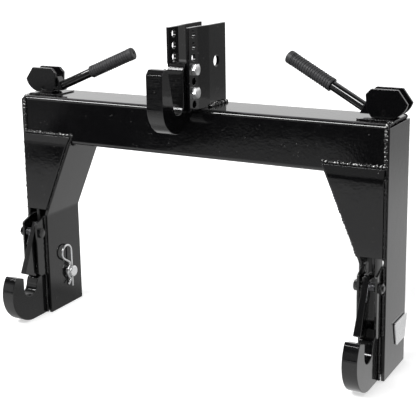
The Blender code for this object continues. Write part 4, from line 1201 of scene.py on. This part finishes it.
def make_nut(node, pivot, radius, across_flats, material):
    """Hexagon nut along X."""
    low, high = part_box(node)
    centre = (pivot.y, pivot.z)
    bore = radius + SEAT_GAP / 2
    mouth = bore * NUT_COUNTERSINK
    loops = turned_loops([(low.x + bore / 8, bore), (low.x, mouth)], FASTENER_SIDES, centre)
    loops += hex_loops(low.x, 1, high.x - low.x, across_flats, centre, both_ends=True)
    loops += turned_loops([(high.x, mouth), (high.x - bore / 8, bore)], FASTENER_SIDES, centre)
    piece(node, rings(loops, closed=True), finish(material))


def make_latch_fastener(name, side):
    pivot = PIVOTS[f"{name}_latch_swing"]
    make_bolt(f"{name}_latch_bolt", pivot, side, BOLT_RADIUS, BOLT_ACROSS, BOLT_HEAD, BOLT_THREAD,
              "paint")
    make_nut(f"{name}_latch_nut", pivot, BOLT_RADIUS, BOLT_ACROSS, "paint")


def make_latch_spring(name, side):
    """Torsion spring on the bolt, between the latch and the outer ear."""
    pivot = PIVOTS[f"{name}_latch_swing"]
    radius = BOLT_RADIUS + 2 * RUNNING_GAP + SPRING_WIRE / 2
    low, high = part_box(f"{name}_latch_spring")
    near, far = low.x + SPRING_WIRE / 2, high.x - SPRING_WIRE / 2
    start, end = (near, far) if side > 0 else (far, near)
    steps = round(SPRING_TURNS * SPRING_STEPS)
    path = [(start, -SPRING_LEG, -radius), (start, -SPRING_LEG / 2, -radius)]
    for step in range(steps + 1):
        turn = -math.pi / 2 + math.tau * SPRING_TURNS * step / steps
        path.append((start + (end - start) * step / steps, radius * math.cos(turn), radius * math.sin(turn)))
    path += [(end, -SPRING_LEG / 2, radius), (end, -SPRING_LEG, radius)]
    down = math.pi / 2 - LATCH_LEAN
    placed = [(x, pivot.y + y * math.cos(down) + z * math.sin(down),
               pivot.z + y * math.sin(down) - z * math.cos(down)) for x, y, z in path]
    piece(f"{name}_latch_spring", sweep(placed, SPRING_WIRE / 2, 12), finish("spring"))


# Release rods, levers and pins

def make_rod(name, side):
    """Bent release rod with a foot in the latch's slot and an eye on the lever's pin."""
    latch = PIVOTS[f"{name}_latch_swing"]
    lever = PIVOTS[f"{name}_lever_turn"]
    low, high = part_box(f"{name}_release_rod")
    foot_x = low.x if side > 0 else high.x
    low_y, low_z = latch.y + LATCH_ARM_BACK, latch.z + LATCH_ARM_UP
    x = side * HOOK_X
    rise = BEAM_BOTTOM - low_z
    corners = (
        (foot_x, low_y, low_z),
        (x, low_y, low_z),
        (x, low_y, low_z + rise * ROD_LOW_BEND),
        (x, BEAM_MIDDLE, low_z + rise * ROD_HIGH_BEND),
        (x, BEAM_MIDDLE, lever.z - EYE_RADIUS + ROD_RADIUS / 2),
    )
    rod = sweep(rounded_path(corners, (ROD_HOOK_RADIUS, ROD_BEND_RADIUS, ROD_BEND_RADIUS)), ROD_RADIUS)
    eye, hole = (prism(circle(radius, (x, lever.z)), "Y", BEAM_MIDDLE - half, BEAM_MIDDLE + half)
                 for radius, half in ((EYE_RADIUS, EYE_HALF_WIDTH), (EYE_BORE, 2 * EYE_HALF_WIDTH)))
    piece(f"{name}_release_rod", rod, finish("smooth_paint"), sizes().plate_edge / 2,
          joins=[eye], cuts=[hole])


def shaft_frame(name, side):
    """Matrix whose X axis runs up the shaft from its foot; the shaft leans towards the tractor."""
    pivot = PIVOTS[f"{name}_lever_turn"]
    foot = Vector((pivot.x - side * SHAFT_FOOT_IN, BEAM_MIDDLE, pivot.z + SHAFT_FOOT_UP))
    level = Vector((-side * math.cos(SHAFT_BACKWARD), math.sin(SHAFT_BACKWARD), 0.0))
    along = level * math.cos(SHAFT_SLOPE[name])
    along.z = math.sin(SHAFT_SLOPE[name])
    back = Vector((0.0, 0.0, 1.0)).cross(along).normalized()
    turn = Matrix((along, back, along.cross(back))).transposed().to_4x4()
    return Matrix.Translation(foot) @ turn


def make_cam_plates(name, side):
    """Two cam plates with the pin that joins them and carries the rod's eye."""
    pivot = PIVOTS[f"{name}_lever_turn"]
    outline = arc(CAM_CENTRE, CAM_RADIUS, -math.pi / 2, CAM_NOSE)
    outline += [(x, z, CAM_CORNER) for x, z in CAM_CORNERS]
    outline.append((-CAM_FLAT_IN, CAM_CENTRE[1] - CAM_RADIUS, CAM_CORNER))
    placed = [(side * (HOOK_X + x), pivot.z + z) for x, z in rounded(outline)]
    bore = circle(CAM_PIN_RADIUS + SEAT_GAP, (side * HOOK_X, pivot.z))
    for place in ("front", "rear"):
        node = f"{name}_cam_plate_{place}"
        low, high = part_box(node)
        piece(node, prism(placed, "Y", low.y, high.y), finish("smooth_paint"), sizes().plate_edge,
              cuts=[prism(bore, "Y", low.y - PLATE, high.y + PLATE)])
    low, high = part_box(f"{name}_lever_pin")
    reach = (high.y - low.y) / 2
    chamfer = CAM_PIN_RADIUS / 6
    profile = [(-reach + chamfer, CAM_PIN_RADIUS), (reach - chamfer, CAM_PIN_RADIUS),
               (reach, CAM_PIN_RADIUS - chamfer), (reach, CAM_PIN_BORE), (-reach, CAM_PIN_BORE),
               (-reach, CAM_PIN_RADIUS - chamfer)]
    pin = moved(rings(turned_loops(profile), closed=True),
                Matrix.Translation(pivot) @ Matrix.Rotation(math.pi / 2, 4, "Z"))
    piece(f"{name}_lever_pin", pin, finish("paint"))


def make_hub(name, side, face, along):
    """Block between the cam plates, cut off where the shaft stands on it."""
    pivot = PIVOTS[f"{name}_lever_turn"]
    out = pivot.x - side * HUB_IN
    bottom, top = pivot.z - HUB_BOTTOM, pivot.z + HUB_TOP
    half = CAM_GAP / 2 - SEAT_GAP
    loops = []
    for y in (BEAM_MIDDLE - half, BEAM_MIDDLE + half):
        low, high = (face.x + ((face.y - y) * along.y + (face.z - z) * along.z) / along.x
                     for z in (bottom, top))
        loops.append([(out, y, bottom), (low, y, bottom), (high, y, top), (out, y, top)])
    piece(f"{name}_lever_hub", rings(loops), finish("smooth_paint"), sizes().forged_edge)


def make_handle(name, side):
    """Hub, shaft and ribbed rubber grip."""
    place = shaft_frame(name, side)
    make_hub(name, side, place @ Vector((-SEAT_GAP, 0.0, 0.0)), place.col[0])
    edge = HANDLE_EDGE
    grip_end = GRIP_START + GRIP_LENGTH
    inside_end = grip_end - GRIP_WALL - SEAT_GAP
    profile = [(0.0, SHAFT_RADIUS - edge)]
    profile += [(edge - edge * math.cos(t), SHAFT_RADIUS - edge + edge * math.sin(t))
                for t in (math.pi / 8, math.pi / 4, math.pi * 3 / 8, math.pi / 2)]
    profile += [(inside_end - edge, SHAFT_RADIUS), (inside_end, SHAFT_RADIUS - edge)]
    shaft = moved(rings(turned_loops(profile, 64)), place)
    piece(f"{name}_lever_shaft", shaft, finish("paint"), sharp=TURNED_SHARP)
    bore = SHAFT_RADIUS + SEAT_GAP
    outer = bore + GRIP_WALL
    waist = outer - sizes().rib_size
    cap = grip_end - GRIP_CAP
    profile = [(GRIP_START, bore), (GRIP_START, outer - edge), (GRIP_START + edge / 2, outer - edge / 4),
               (GRIP_START + edge, outer), (GRIP_START + 3 * edge, outer),
               (GRIP_START + 3.5 * edge, waist), (cap - edge / 2, waist), (cap, outer)]
    round_end = 2.5 * edge
    profile += [(grip_end - round_end + round_end * math.sin(t), outer - round_end + round_end * math.cos(t))
                for t in [math.pi / 2 * i / 8 for i in range(9)]]
    profile += [(grip_end, GRIP_HOLE + edge / 4), (grip_end - edge / 4, GRIP_HOLE),
                (grip_end - GRIP_WALL, GRIP_HOLE), (grip_end - GRIP_WALL, bore)]
    grip = moved(rings(turned_loops(profile, 64), closed=True), place)
    piece(f"{name}_lever_grip", grip, finish("rubber"), sharp=TURNED_SHARP)
    path = [place @ Vector((along, 0.0, 0.0)) for along in (GRIP_START + 5.5 * edge, cap - 2 * edge)]
    grown(f"{name}_grip_ribs", [path], rib_tree(finish("rubber")),
          {"Radius": waist, "Size": sizes().rib_size, "Pitch": sizes().rib_pitch},
          f"{name}_lever")


def make_link_pin(name, side):
    """Lower link pin with its flag outside the leg and a hairpin through its inner end."""
    pivot = PIVOTS[f"{name}_link_pin_turn"]
    low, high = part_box(f"{name}_link_pin")
    inner, outer = (low.x, high.x) if side > 0 else (high.x, low.x)
    profile = [(inner + side * PIN_CHAMFER * along, PIN_RADIUS - PIN_CHAMFER * drop)
               for along, drop in PIN_END]
    profile.append((outer, PIN_RADIUS))
    clip_low, clip_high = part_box(f"{name}_hairpin")
    clip_x = (clip_low.x + clip_high.x) / 2
    hole = prism(circle(CLIP_WIRE / 2 + SEAT_GAP, (clip_x, pivot.y), 24), "Z",
                 pivot.z - 2 * PIN_RADIUS, pivot.z + 2 * PIN_RADIUS)
    pin = rings(turned_loops(profile, 64, (pivot.y, pivot.z)))
    piece(f"{name}_link_pin", pin, finish("zinc"), cuts=[hole])
    low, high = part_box(f"{name}_link_pin_flag")
    middle = (low.y + high.y) / 2
    outline = rounded([
        (middle - FLAG_BOTTOM / 2, low.z, FLAG_CORNER),
        (middle + FLAG_BOTTOM / 2, low.z, FLAG_CORNER),
        (middle + FLAG_TOP / 2, high.z, FLAG_CORNER),
        (middle - FLAG_TOP / 2, high.z, FLAG_CORNER),
    ])
    piece(f"{name}_link_pin_flag", prism(outline, "X", low.x, high.x), finish("zinc"),
          sizes().plate_edge)
    piece(f"{name}_hairpin", sweep(hairpin_path(clip_x, pivot), CLIP_WIRE / 2), finish("zinc"),
          sharp=WIRE_SHARP)


def hairpin_path(x, pivot):
    """R-shaped wire: a straight leg through the pin, a round eye and a leg round the outside."""
    eye = (pivot.y - CLIP_LOOP, pivot.z + CLIP_ABOVE)
    waist = pivot.y - CLIP_WIRE - SEAT_GAP
    grip = PIN_RADIUS + CLIP_WIRE / 2 + SEAT_GAP
    around = arc((pivot.y, pivot.z), grip, 0.75 * math.pi, 1.25 * math.pi, CLIP_ARC_STEP)
    over = arc(eye, CLIP_LOOP, 0.0, 1.3 * math.pi, CLIP_EYE_ARC_STEP)
    upper = (over[-1], (waist, pivot.z + CLIP_WAIST_ABOVE), around[0])
    end = (pivot.y - CLIP_END_OUT, pivot.z - CLIP_END_BELOW)
    lower = (around[-1], (waist, pivot.z - CLIP_WAIST_BELOW), end)
    path = [(x, pivot.y, pivot.z - CLIP_BELOW), (x, pivot.y, pivot.z)]
    for run, bent in ((over[:-1], False), (upper, True), (around[1:-1], False), (lower, True)):
        points = [(x, y, z) for y, z in run]
        path += rounded_path(points, (CLIP_BEND,)) if bent else points
    return path


# Mast and top hook

def hook_bolt_height(place):
    low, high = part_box(f"top_hook_bolt_{place}")
    return (low.z + high.z) / 2


def make_mast_plate(name, side):
    """Mast plate: close to the hook in front, joggled out behind for the top link's ball."""
    face = rounded([
        (MAST_LOW.x, MAST_LOW.y),
        (MAST_LOW.x, BEAM_FRONT, MAST_BEND),
        (MAST_HIGH.x - MAST_PLATE, BEAM_FRONT + MAST_JOGGLE, MAST_BEND),
        (MAST_HIGH.x - MAST_PLATE, MAST_HIGH.y),
    ], closed=False)
    outline = [(side * x, y) for x, y in face + offset_line(face, MAST_PLATE)[::-1]]
    reach = across(side, 0.0, MAST_HIGH.x + MAST_PLATE)
    hole_y = BEAM_FRONT - MAST_HOLE_FORWARD
    first = hook_bolt_height("lower")
    below = int((first - BEAM_TOP - MAST_HOLE_EDGE + SEAT_GAP) / MAST_HOLE_PITCH)
    above = int((MAST_HIGH.z - first - MAST_HOLE_EDGE) / MAST_HOLE_PITCH)
    cuts = [prism(circle(MAST_HOLE, (hole_y, first + index * MAST_HOLE_PITCH)), "X", *reach)
            for index in range(-below, above + 1)]
    link = circle(LINK_HOLE, (BEAM_FRONT + LINK_HOLE_BACK, BEAM_TOP + LINK_HOLE_UP), 64)
    cuts.append(prism(link, "X", *reach))
    piece(f"mast_plate_{name}", prism(outline, "Z", MAST_LOW.z, MAST_HIGH.z), finish("paint"),
          sizes().plate_edge, cuts=cuts)


def make_top_hook():
    """Hook for the implement's mast pin, its shank bolted between the mast plates."""
    arc_centre = (TOP_HOOK_LOW.y + TOP_ARC_RADIUS, TOP_HOOK_LOW.z + TOP_ARC_RADIUS)
    jaw = (BEAM_FRONT - TOP_JAW_FORWARD, arc_centre[1] - TOP_ARC_RISE)
    step = BEAM_TOP + TOP_STEP_OVER_BEAM
    end = math.asin((step - arc_centre[1]) / TOP_ARC_RADIUS)
    lip_back = TOP_HOOK_LOW.y + TOP_LIP_DROP + TOP_LIP
    tine_top = jaw[1] + TOP_TINE_RISE
    shank_top = TOP_HOOK_HIGH.z
    shank_front = jaw[0] + TOP_JAW_RADIUS
    touch = tangent_angle(jaw, TOP_JAW_RADIUS, (lip_back, tine_top), 1)
    outline = arc(arc_centre, TOP_ARC_RADIUS, -math.pi, end, LARGE_ARC_STEP)
    outline += [(TOP_HOOK_HIGH.y, step), (TOP_HOOK_HIGH.y, shank_top, TOP_BACK_CORNER)]
    corner = TOP_SHANK_CORNER
    outline += arc((shank_front + corner, shank_top - corner), corner, math.pi / 2, math.pi,
                   SHANK_ARC_STEP)
    outline += arc(jaw, TOP_JAW_RADIUS, 0.0, touch - math.tau if touch > 0 else touch)
    outline += [
        (lip_back, tine_top, TOP_BACK_CORNER),
        (TOP_HOOK_LOW.y + TOP_LIP_DROP, tine_top, TOP_TINE_CORNER),
        (TOP_HOOK_LOW.y, tine_top - TOP_LIP_DROP, TOP_TINE_CORNER),
    ]
    low, high = TOP_HOOK_LOW.x, TOP_HOOK_HIGH.x
    hole_y = BEAM_FRONT - MAST_HOLE_FORWARD
    cuts = [prism(circle(MAST_HOLE, (hole_y, hook_bolt_height(place))), "X", low - PLATE, high + PLATE)
            for place in ("lower", "upper")]
    piece("top_hook", prism(rounded(outline), "X", low, high), finish("cut_paint"),
          sizes().forged_edge, cuts=cuts)


def make_hook_bolts():
    for place in ("lower", "upper"):
        pivot = Vector((0.0, BEAM_FRONT - MAST_HOLE_FORWARD, hook_bolt_height(place)))
        make_bolt(f"top_hook_bolt_{place}", pivot, -1, HOOK_BOLT_RADIUS, HOOK_BOLT_ACROSS,
                  HOOK_BOLT_HEAD, HOOK_BOLT_THREAD, "zinc")
        make_nut(f"top_hook_nut_{place}", pivot, HOOK_BOLT_RADIUS, HOOK_BOLT_ACROSS, "zinc")


# Welds

def on_side(side, paths):
    """Paths of the right side, mirrored where the side is the left one."""
    return [[(side * x, y, z) for x, y, z in path] for path in paths]


def beam_seams(side):
    """Paths along the gusset's top and round the beam's end."""
    radius = sizes().weld_radius
    half = radius / 2
    height, _, inner = gusset_rows()[-1]
    end_x = BEAM_HIGH.x + SEAT_GAP
    over_gusset = [(inner, BEAM_FRONT, height + half), (GUSSET_HIGH.x, BEAM_FRONT, height + half)]
    round_end = [(end_x, OUTER_LOW.y + half, height + 2 * radius), (end_x, OUTER_LOW.y + half, OUTER_HIGH.z),
                 (end_x, BEAM_FRONT + BEAM_CORNER, BEAM_TOP - half),
                 (end_x, BEAM_BACK - BEAM_CORNER, BEAM_TOP - half)]
    return on_side(side, (over_gusset, round_end))


def leg_seams(side):
    """Paths beside the gusset, the ears and the hook, and under the beam."""
    radius = sizes().weld_radius
    half = radius / 2
    front = OUTER_LOW.y - half
    rows = gusset_rows()
    upright = (
        (GUSSET_HIGH.x + half, GUSSET_LOW.z, rows[-1][0] - GUSSET_BAND),
        (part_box("right_latch_ear_inner")[0].x - half, hook_shoulder() + radius, EAR_HIGH.z - radius),
        (EAR_HIGH.x + half, hook_shoulder() + radius, EAR_HIGH.z - radius),
        (HOOK_HIGH.x + half, radius, hook_shoulder() - radius),
        (HOOK_LOW.x - half, radius, hook_shoulder() - radius),
    )
    paths = [[(x, front, low), (x, front, high)] for x, low, high in upright]
    under_x, under_z = inner_plate_face(BEAM_BOTTOM) - half / 2, BEAM_BOTTOM - half / 2
    paths.insert(1, [(inner - half, back - half * WELD_SINK, height) for height, back, inner in rows])
    paths.insert(2, [(under_x, BEAM_FRONT + BEAM_CORNER, under_z),
                     (under_x, BEAM_BACK - BEAM_CORNER, under_z)])
    return on_side(side, paths)


def make_welds():
    """Beads along the seams of the welded frame."""
    radius, pitch, seed = sizes().weld_radius, sizes().weld_pitch, sizes().weld_seed
    bright, plain = weld_tree(finish("weld_paint")), weld_tree(finish("seam_paint"))
    for name, side in SIDES.items():
        for place, paths, tree, size in (("beam", beam_seams(side), bright, BEAM_WELD),
                                         ("leg", leg_seams(side), plain, LEG_WELD)):
            grown(f"{name}_{place}_welds", paths, tree,
                  {"Radius": radius * size, "Pitch": pitch * size, "Seed": seed}, "frame")
    foot = BEAM_TOP + radius / 2
    paths = []
    for side in SIDES.values():
        seam = side * (MAST_HIGH.x + radius / 2)
        paths.append([(seam, BEAM_FRONT + MAST_JOGGLE, foot), (seam, MAST_HIGH.y - radius, foot)])
    grown("mast_welds", paths, bright,
          {"Radius": radius * MAST_WELD_RADIUS, "Pitch": pitch * MAST_WELD_PITCH, "Seed": seed + 1},
          "frame")


# Studio

def floor_finish():
    """Pale floor: part of its white comes from itself, so that only the shadow shows.

    What the gloss of the paint sees of it is a painted reflection: a glow laid out in pools and bands, dim
    towards the front, where the studio is dark.
    """
    made, nodes, place, _ = finish_tree("floor")
    rays = nodes.node("ShaderNodeLightPath")
    glossy = rays.value("Is Glossy Ray")
    sideways, forward, _ = nodes.axes(place)
    away = nodes.distance(place, (0.0, 0.0, 0.0))
    # Painted reflection, for the gloss only. In front: a pool of light, a slanting field and a far one on
    # the left, and a band across
    pool = nodes.distance(nodes.stretched(place, (1.5, 1.0, 1.0)), (-0.825, -1.20, 0.0))
    aslant = sideways * 0.863 - forward * 0.505
    near = nodes.between(pool, 0.56, 0.50, 0.0, 0.40) + nodes.between(aslant, -0.50, -0.58, 0.0, 0.26)
    near = near + nodes.between(sideways, -2.05, -2.35, 0.0, 0.65)
    band = nodes.between(forward + sideways * 0.18, -1.33, -1.21, 0.0, 0.55)
    near = nodes.larger(near, band)
    # Painted glow under the object and behind it, then the fall with distance, and a painted shade at the
    # left hook
    near = near + nodes.between(forward, -0.75, -0.40, 0.0, 0.30)
    near = near - nodes.between(forward, -0.10, 0.20, 0.0, 0.17)
    near = near * nodes.between(away, 1.0, 2.2, 1.0, 0.62) * nodes.between(away, 2.2, 3.2, 1.0, 0.49)
    near = near * nodes.between(nodes.distance(place, (-0.26, 0.0, 0.0)), 0.10, 0.20, 0.45, 1.0)
    seen = rays.value("Is Camera Ray") + rays.value("Is Transmission Ray")
    lift = nodes.between(away, 0.5, 1.5, studio().floor_lift, 1.0)
    mottled = opaque([c * 0.98 for c in studio().floor])
    base = nodes.mixed(nodes.noise(place, 3.0), opaque(studio().floor), mottled)
    # Glossy rays see the floor's matt part as black, and only its painted glow
    matt = nodes.node("ShaderNodeBsdfDiffuse", {}, {"Color": nodes.mixed(glossy, base, BLACK)}).value(0)
    glow = nodes.node("ShaderNodeEmission", {}, {"Color": WHITE, "Strength": seen * lift + glossy * near})
    both = nodes.node("ShaderNodeAddShader", {}, {0: matt, 1: glow.value(0)}).value(0)
    nodes.node("ShaderNodeOutputMaterial", {}, {"Surface": both})
    return made


def make_floor():
    half = studio().floor_size / 2
    mesh = bpy.data.meshes.new("floor")
    mesh.from_pydata([(-half, -half, 0.0), (half, -half, 0.0), (half, half, 0.0), (-half, half, 0.0)],
                     [], [(0, 1, 2, 3)])
    floor = object_of("floor", mesh)
    floor.location.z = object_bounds()[0].z - SEAT_GAP
    mesh.materials.append(floor_finish())
    floor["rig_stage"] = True


def make_world():
    """White to the camera; to the gloss and to matt surfaces a room bright behind and dim in front."""
    world = bpy.data.worlds.new("studio")
    world.use_nodes = True
    bpy.context.scene.world = world
    nodes = Nodes(world.node_tree)
    rays = nodes.node("ShaderNodeLightPath")
    seen = rays.value("Is Camera Ray") + rays.value("Is Transmission Ray")
    glossy = rays.value("Is Glossy Ray")
    left, back, up = nodes.axes(nodes.node("ShaderNodeTexCoord").value("Generated"))
    horizon = nodes.between(abs(up), 0.42, 0.30) * nodes.between(left, -0.42, -0.52, 0.20, 0.50)
    room = nodes.between(back, -0.25, 0.45, horizon + studio().surround_front, studio().surround)
    strength = seen + glossy * room + (1 - seen - glossy) * room
    glow = nodes.node("ShaderNodeBackground", {}, {"Color": WHITE, "Strength": strength}).value(0)
    nodes.node("ShaderNodeOutputWorld", {}, {"Surface": glow})


def make_lamp(name, place, target, width, height, power):
    data = bpy.data.lights.new(name, "AREA")
    data.shape = "RECTANGLE"
    data.size = width
    data.size_y = height
    data.energy = power
    lamp = bpy.data.objects.new(name, data)
    lamp.location = place
    facing = Vector(target) - Vector(place)
    lamp.rotation_euler = facing.to_track_quat("-Z", "Y").to_euler()
    bpy.context.scene.collection.objects.link(lamp)


def make_camera():
    data = bpy.data.cameras.new("camera")
    data.sensor_width = CAMERA_SENSOR
    data.lens = CAMERA_LENS
    data.shift_y = CAMERA_SHIFT
    camera = bpy.data.objects.new("camera", data)
    bpy.context.scene.collection.objects.link(camera)
    cos_up = math.cos(CAMERA_ELEVATION)
    back = Vector((math.sin(CAMERA_AZIMUTH) * cos_up, -math.cos(CAMERA_AZIMUTH) * cos_up,
                   math.sin(CAMERA_ELEVATION)))
    level = Vector((math.cos(CAMERA_AZIMUTH), math.sin(CAMERA_AZIMUTH), 0.0))
    upright = back.cross(level)
    right = math.cos(CAMERA_ROLL) * level + math.sin(CAMERA_ROLL) * upright
    up = -math.sin(CAMERA_ROLL) * level + math.cos(CAMERA_ROLL) * upright
    turn = Matrix((right, up, back)).transposed().to_4x4()
    camera.matrix_world = Matrix.Translation(CAMERA_PLACE) @ turn
    bpy.context.scene.camera = camera


# Operators, panel and registration

class HITCH_OT_crossbeam(bpy.types.Operator):
    """Finish the crossbeam and the pads under the levers"""

    bl_idname = "hitch.crossbeam"
    bl_label = "Crossbeam"

    def execute(self, context):
        make_crossbeam()
        for name, side in SIDES.items():
            make_lever_pad(name, side)
        return {"FINISHED"}


class HITCH_OT_legs(bpy.types.Operator):
    """Finish the legs' plates and the gussets"""

    bl_idname = "hitch.legs"
    bl_label = "Legs"

    def execute(self, context):
        for name, side in SIDES.items():
            make_leg(name, side)
            make_gusset(name, side)
        return {"FINISHED"}


class HITCH_OT_lower_hooks(bpy.types.Operator):
    """Finish the lower hooks"""

    bl_idname = "hitch.lower_hooks"
    bl_label = "Lower hooks"

    def execute(self, context):
        for name, side in SIDES.items():
            make_lower_hook(name, side)
        return {"FINISHED"}


class HITCH_OT_latches(bpy.types.Operator):
    """Finish the latches with their ears, bolts, nuts and springs"""

    bl_idname = "hitch.latches"
    bl_label = "Latches"

    def execute(self, context):
        for name, side in SIDES.items():
            make_latch_ears(name, side)
            make_latch(name, side)
            make_latch_fastener(name, side)
            make_latch_spring(name, side)
        return {"FINISHED"}


class HITCH_OT_levers(bpy.types.Operator):
    """Finish the release rods and the cam levers"""

    bl_idname = "hitch.levers"
    bl_label = "Levers and rods"

    def execute(self, context):
        for name, side in SIDES.items():
            make_rod(name, side)
            make_cam_plates(name, side)
            make_handle(name, side)
        return {"FINISHED"}


class HITCH_OT_link_pins(bpy.types.Operator):
    """Finish the link pins with their flags and hairpins"""

    bl_idname = "hitch.link_pins"
    bl_label = "Link pins"

    def execute(self, context):
        for name, side in SIDES.items():
            make_link_pin(name, side)
        return {"FINISHED"}


class HITCH_OT_mast(bpy.types.Operator):
    """Finish the mast, the top hook and its bolts"""

    bl_idname = "hitch.mast"
    bl_label = "Mast and top hook"

    def execute(self, context):
        for name, side in SIDES.items():
            make_mast_plate(name, side)
        make_top_hook()
        make_hook_bolts()
        return {"FINISHED"}


class HITCH_OT_welds(bpy.types.Operator):
    """Lay the weld beads"""

    bl_idname = "hitch.welds"
    bl_label = "Welds"

    def execute(self, context):
        make_welds()
        return {"FINISHED"}


class HITCH_OT_studio(bpy.types.Operator):
    """Set up the floor, the lamps, the room and the camera"""

    bl_idname = "hitch.studio"
    bl_label = "Studio"

    def execute(self, context):
        make_floor()
        make_world()
        make_lamp("top_lamp", *TOP_LAMP, studio().top_lamp)
        make_lamp("front_lamp", *FRONT_LAMP, studio().front_lamp)
        make_camera()
        context.scene.view_settings.view_transform = "Standard"
        return {"FINISHED"}


OPERATORS = (HITCH_OT_crossbeam, HITCH_OT_legs, HITCH_OT_lower_hooks, HITCH_OT_latches, HITCH_OT_levers,
             HITCH_OT_link_pins, HITCH_OT_mast, HITCH_OT_welds, HITCH_OT_studio)


class HITCH_PT_panel(bpy.types.Panel):
    """The hitch's sizes, colours and operators"""

    bl_idname = "HITCH_PT_panel"
    bl_label = "Quick hitch"
    bl_space_type = "VIEW_3D"
    bl_region_type = "UI"
    bl_category = "Hitch"

    def draw(self, context):
        for group in (sizes(), colours(), studio()):
            box = self.layout.box()
            for key in group.bl_rna.properties.keys():
                if key not in ("rna_type", "name"):
                    box.prop(group, key)
        for operator in OPERATORS:
            self.layout.operator(operator.bl_idname)


CLASSES = (HitchSizes, HitchColours, HitchStudio, *OPERATORS, HITCH_PT_panel)


def register():
    for made in CLASSES:
        bpy.utils.register_class(made)
    bpy.types.Scene.hitch_sizes = PointerProperty(type=HitchSizes)
    bpy.types.Scene.hitch_colours = PointerProperty(type=HitchColours)
    bpy.types.Scene.hitch_studio = PointerProperty(type=HitchStudio)


def unregister():
    del bpy.types.Scene.hitch_studio
    del bpy.types.Scene.hitch_colours
    del bpy.types.Scene.hitch_sizes
    for made in reversed(CLASSES):
        bpy.utils.unregister_class(made)


def corners(box):
    return [list(corner) for corner in box]


def main():
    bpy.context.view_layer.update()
    register()
    bpy.ops.hitch.crossbeam()
    bpy.ops.hitch.legs()
    bpy.ops.hitch.lower_hooks()
    bpy.ops.hitch.latches()
    bpy.ops.hitch.levers()
    bpy.ops.hitch.link_pins()
    bpy.ops.hitch.mast()
    bpy.ops.hitch.welds()
    bpy.ops.hitch.studio()


if __name__ == "__main__":
    main()
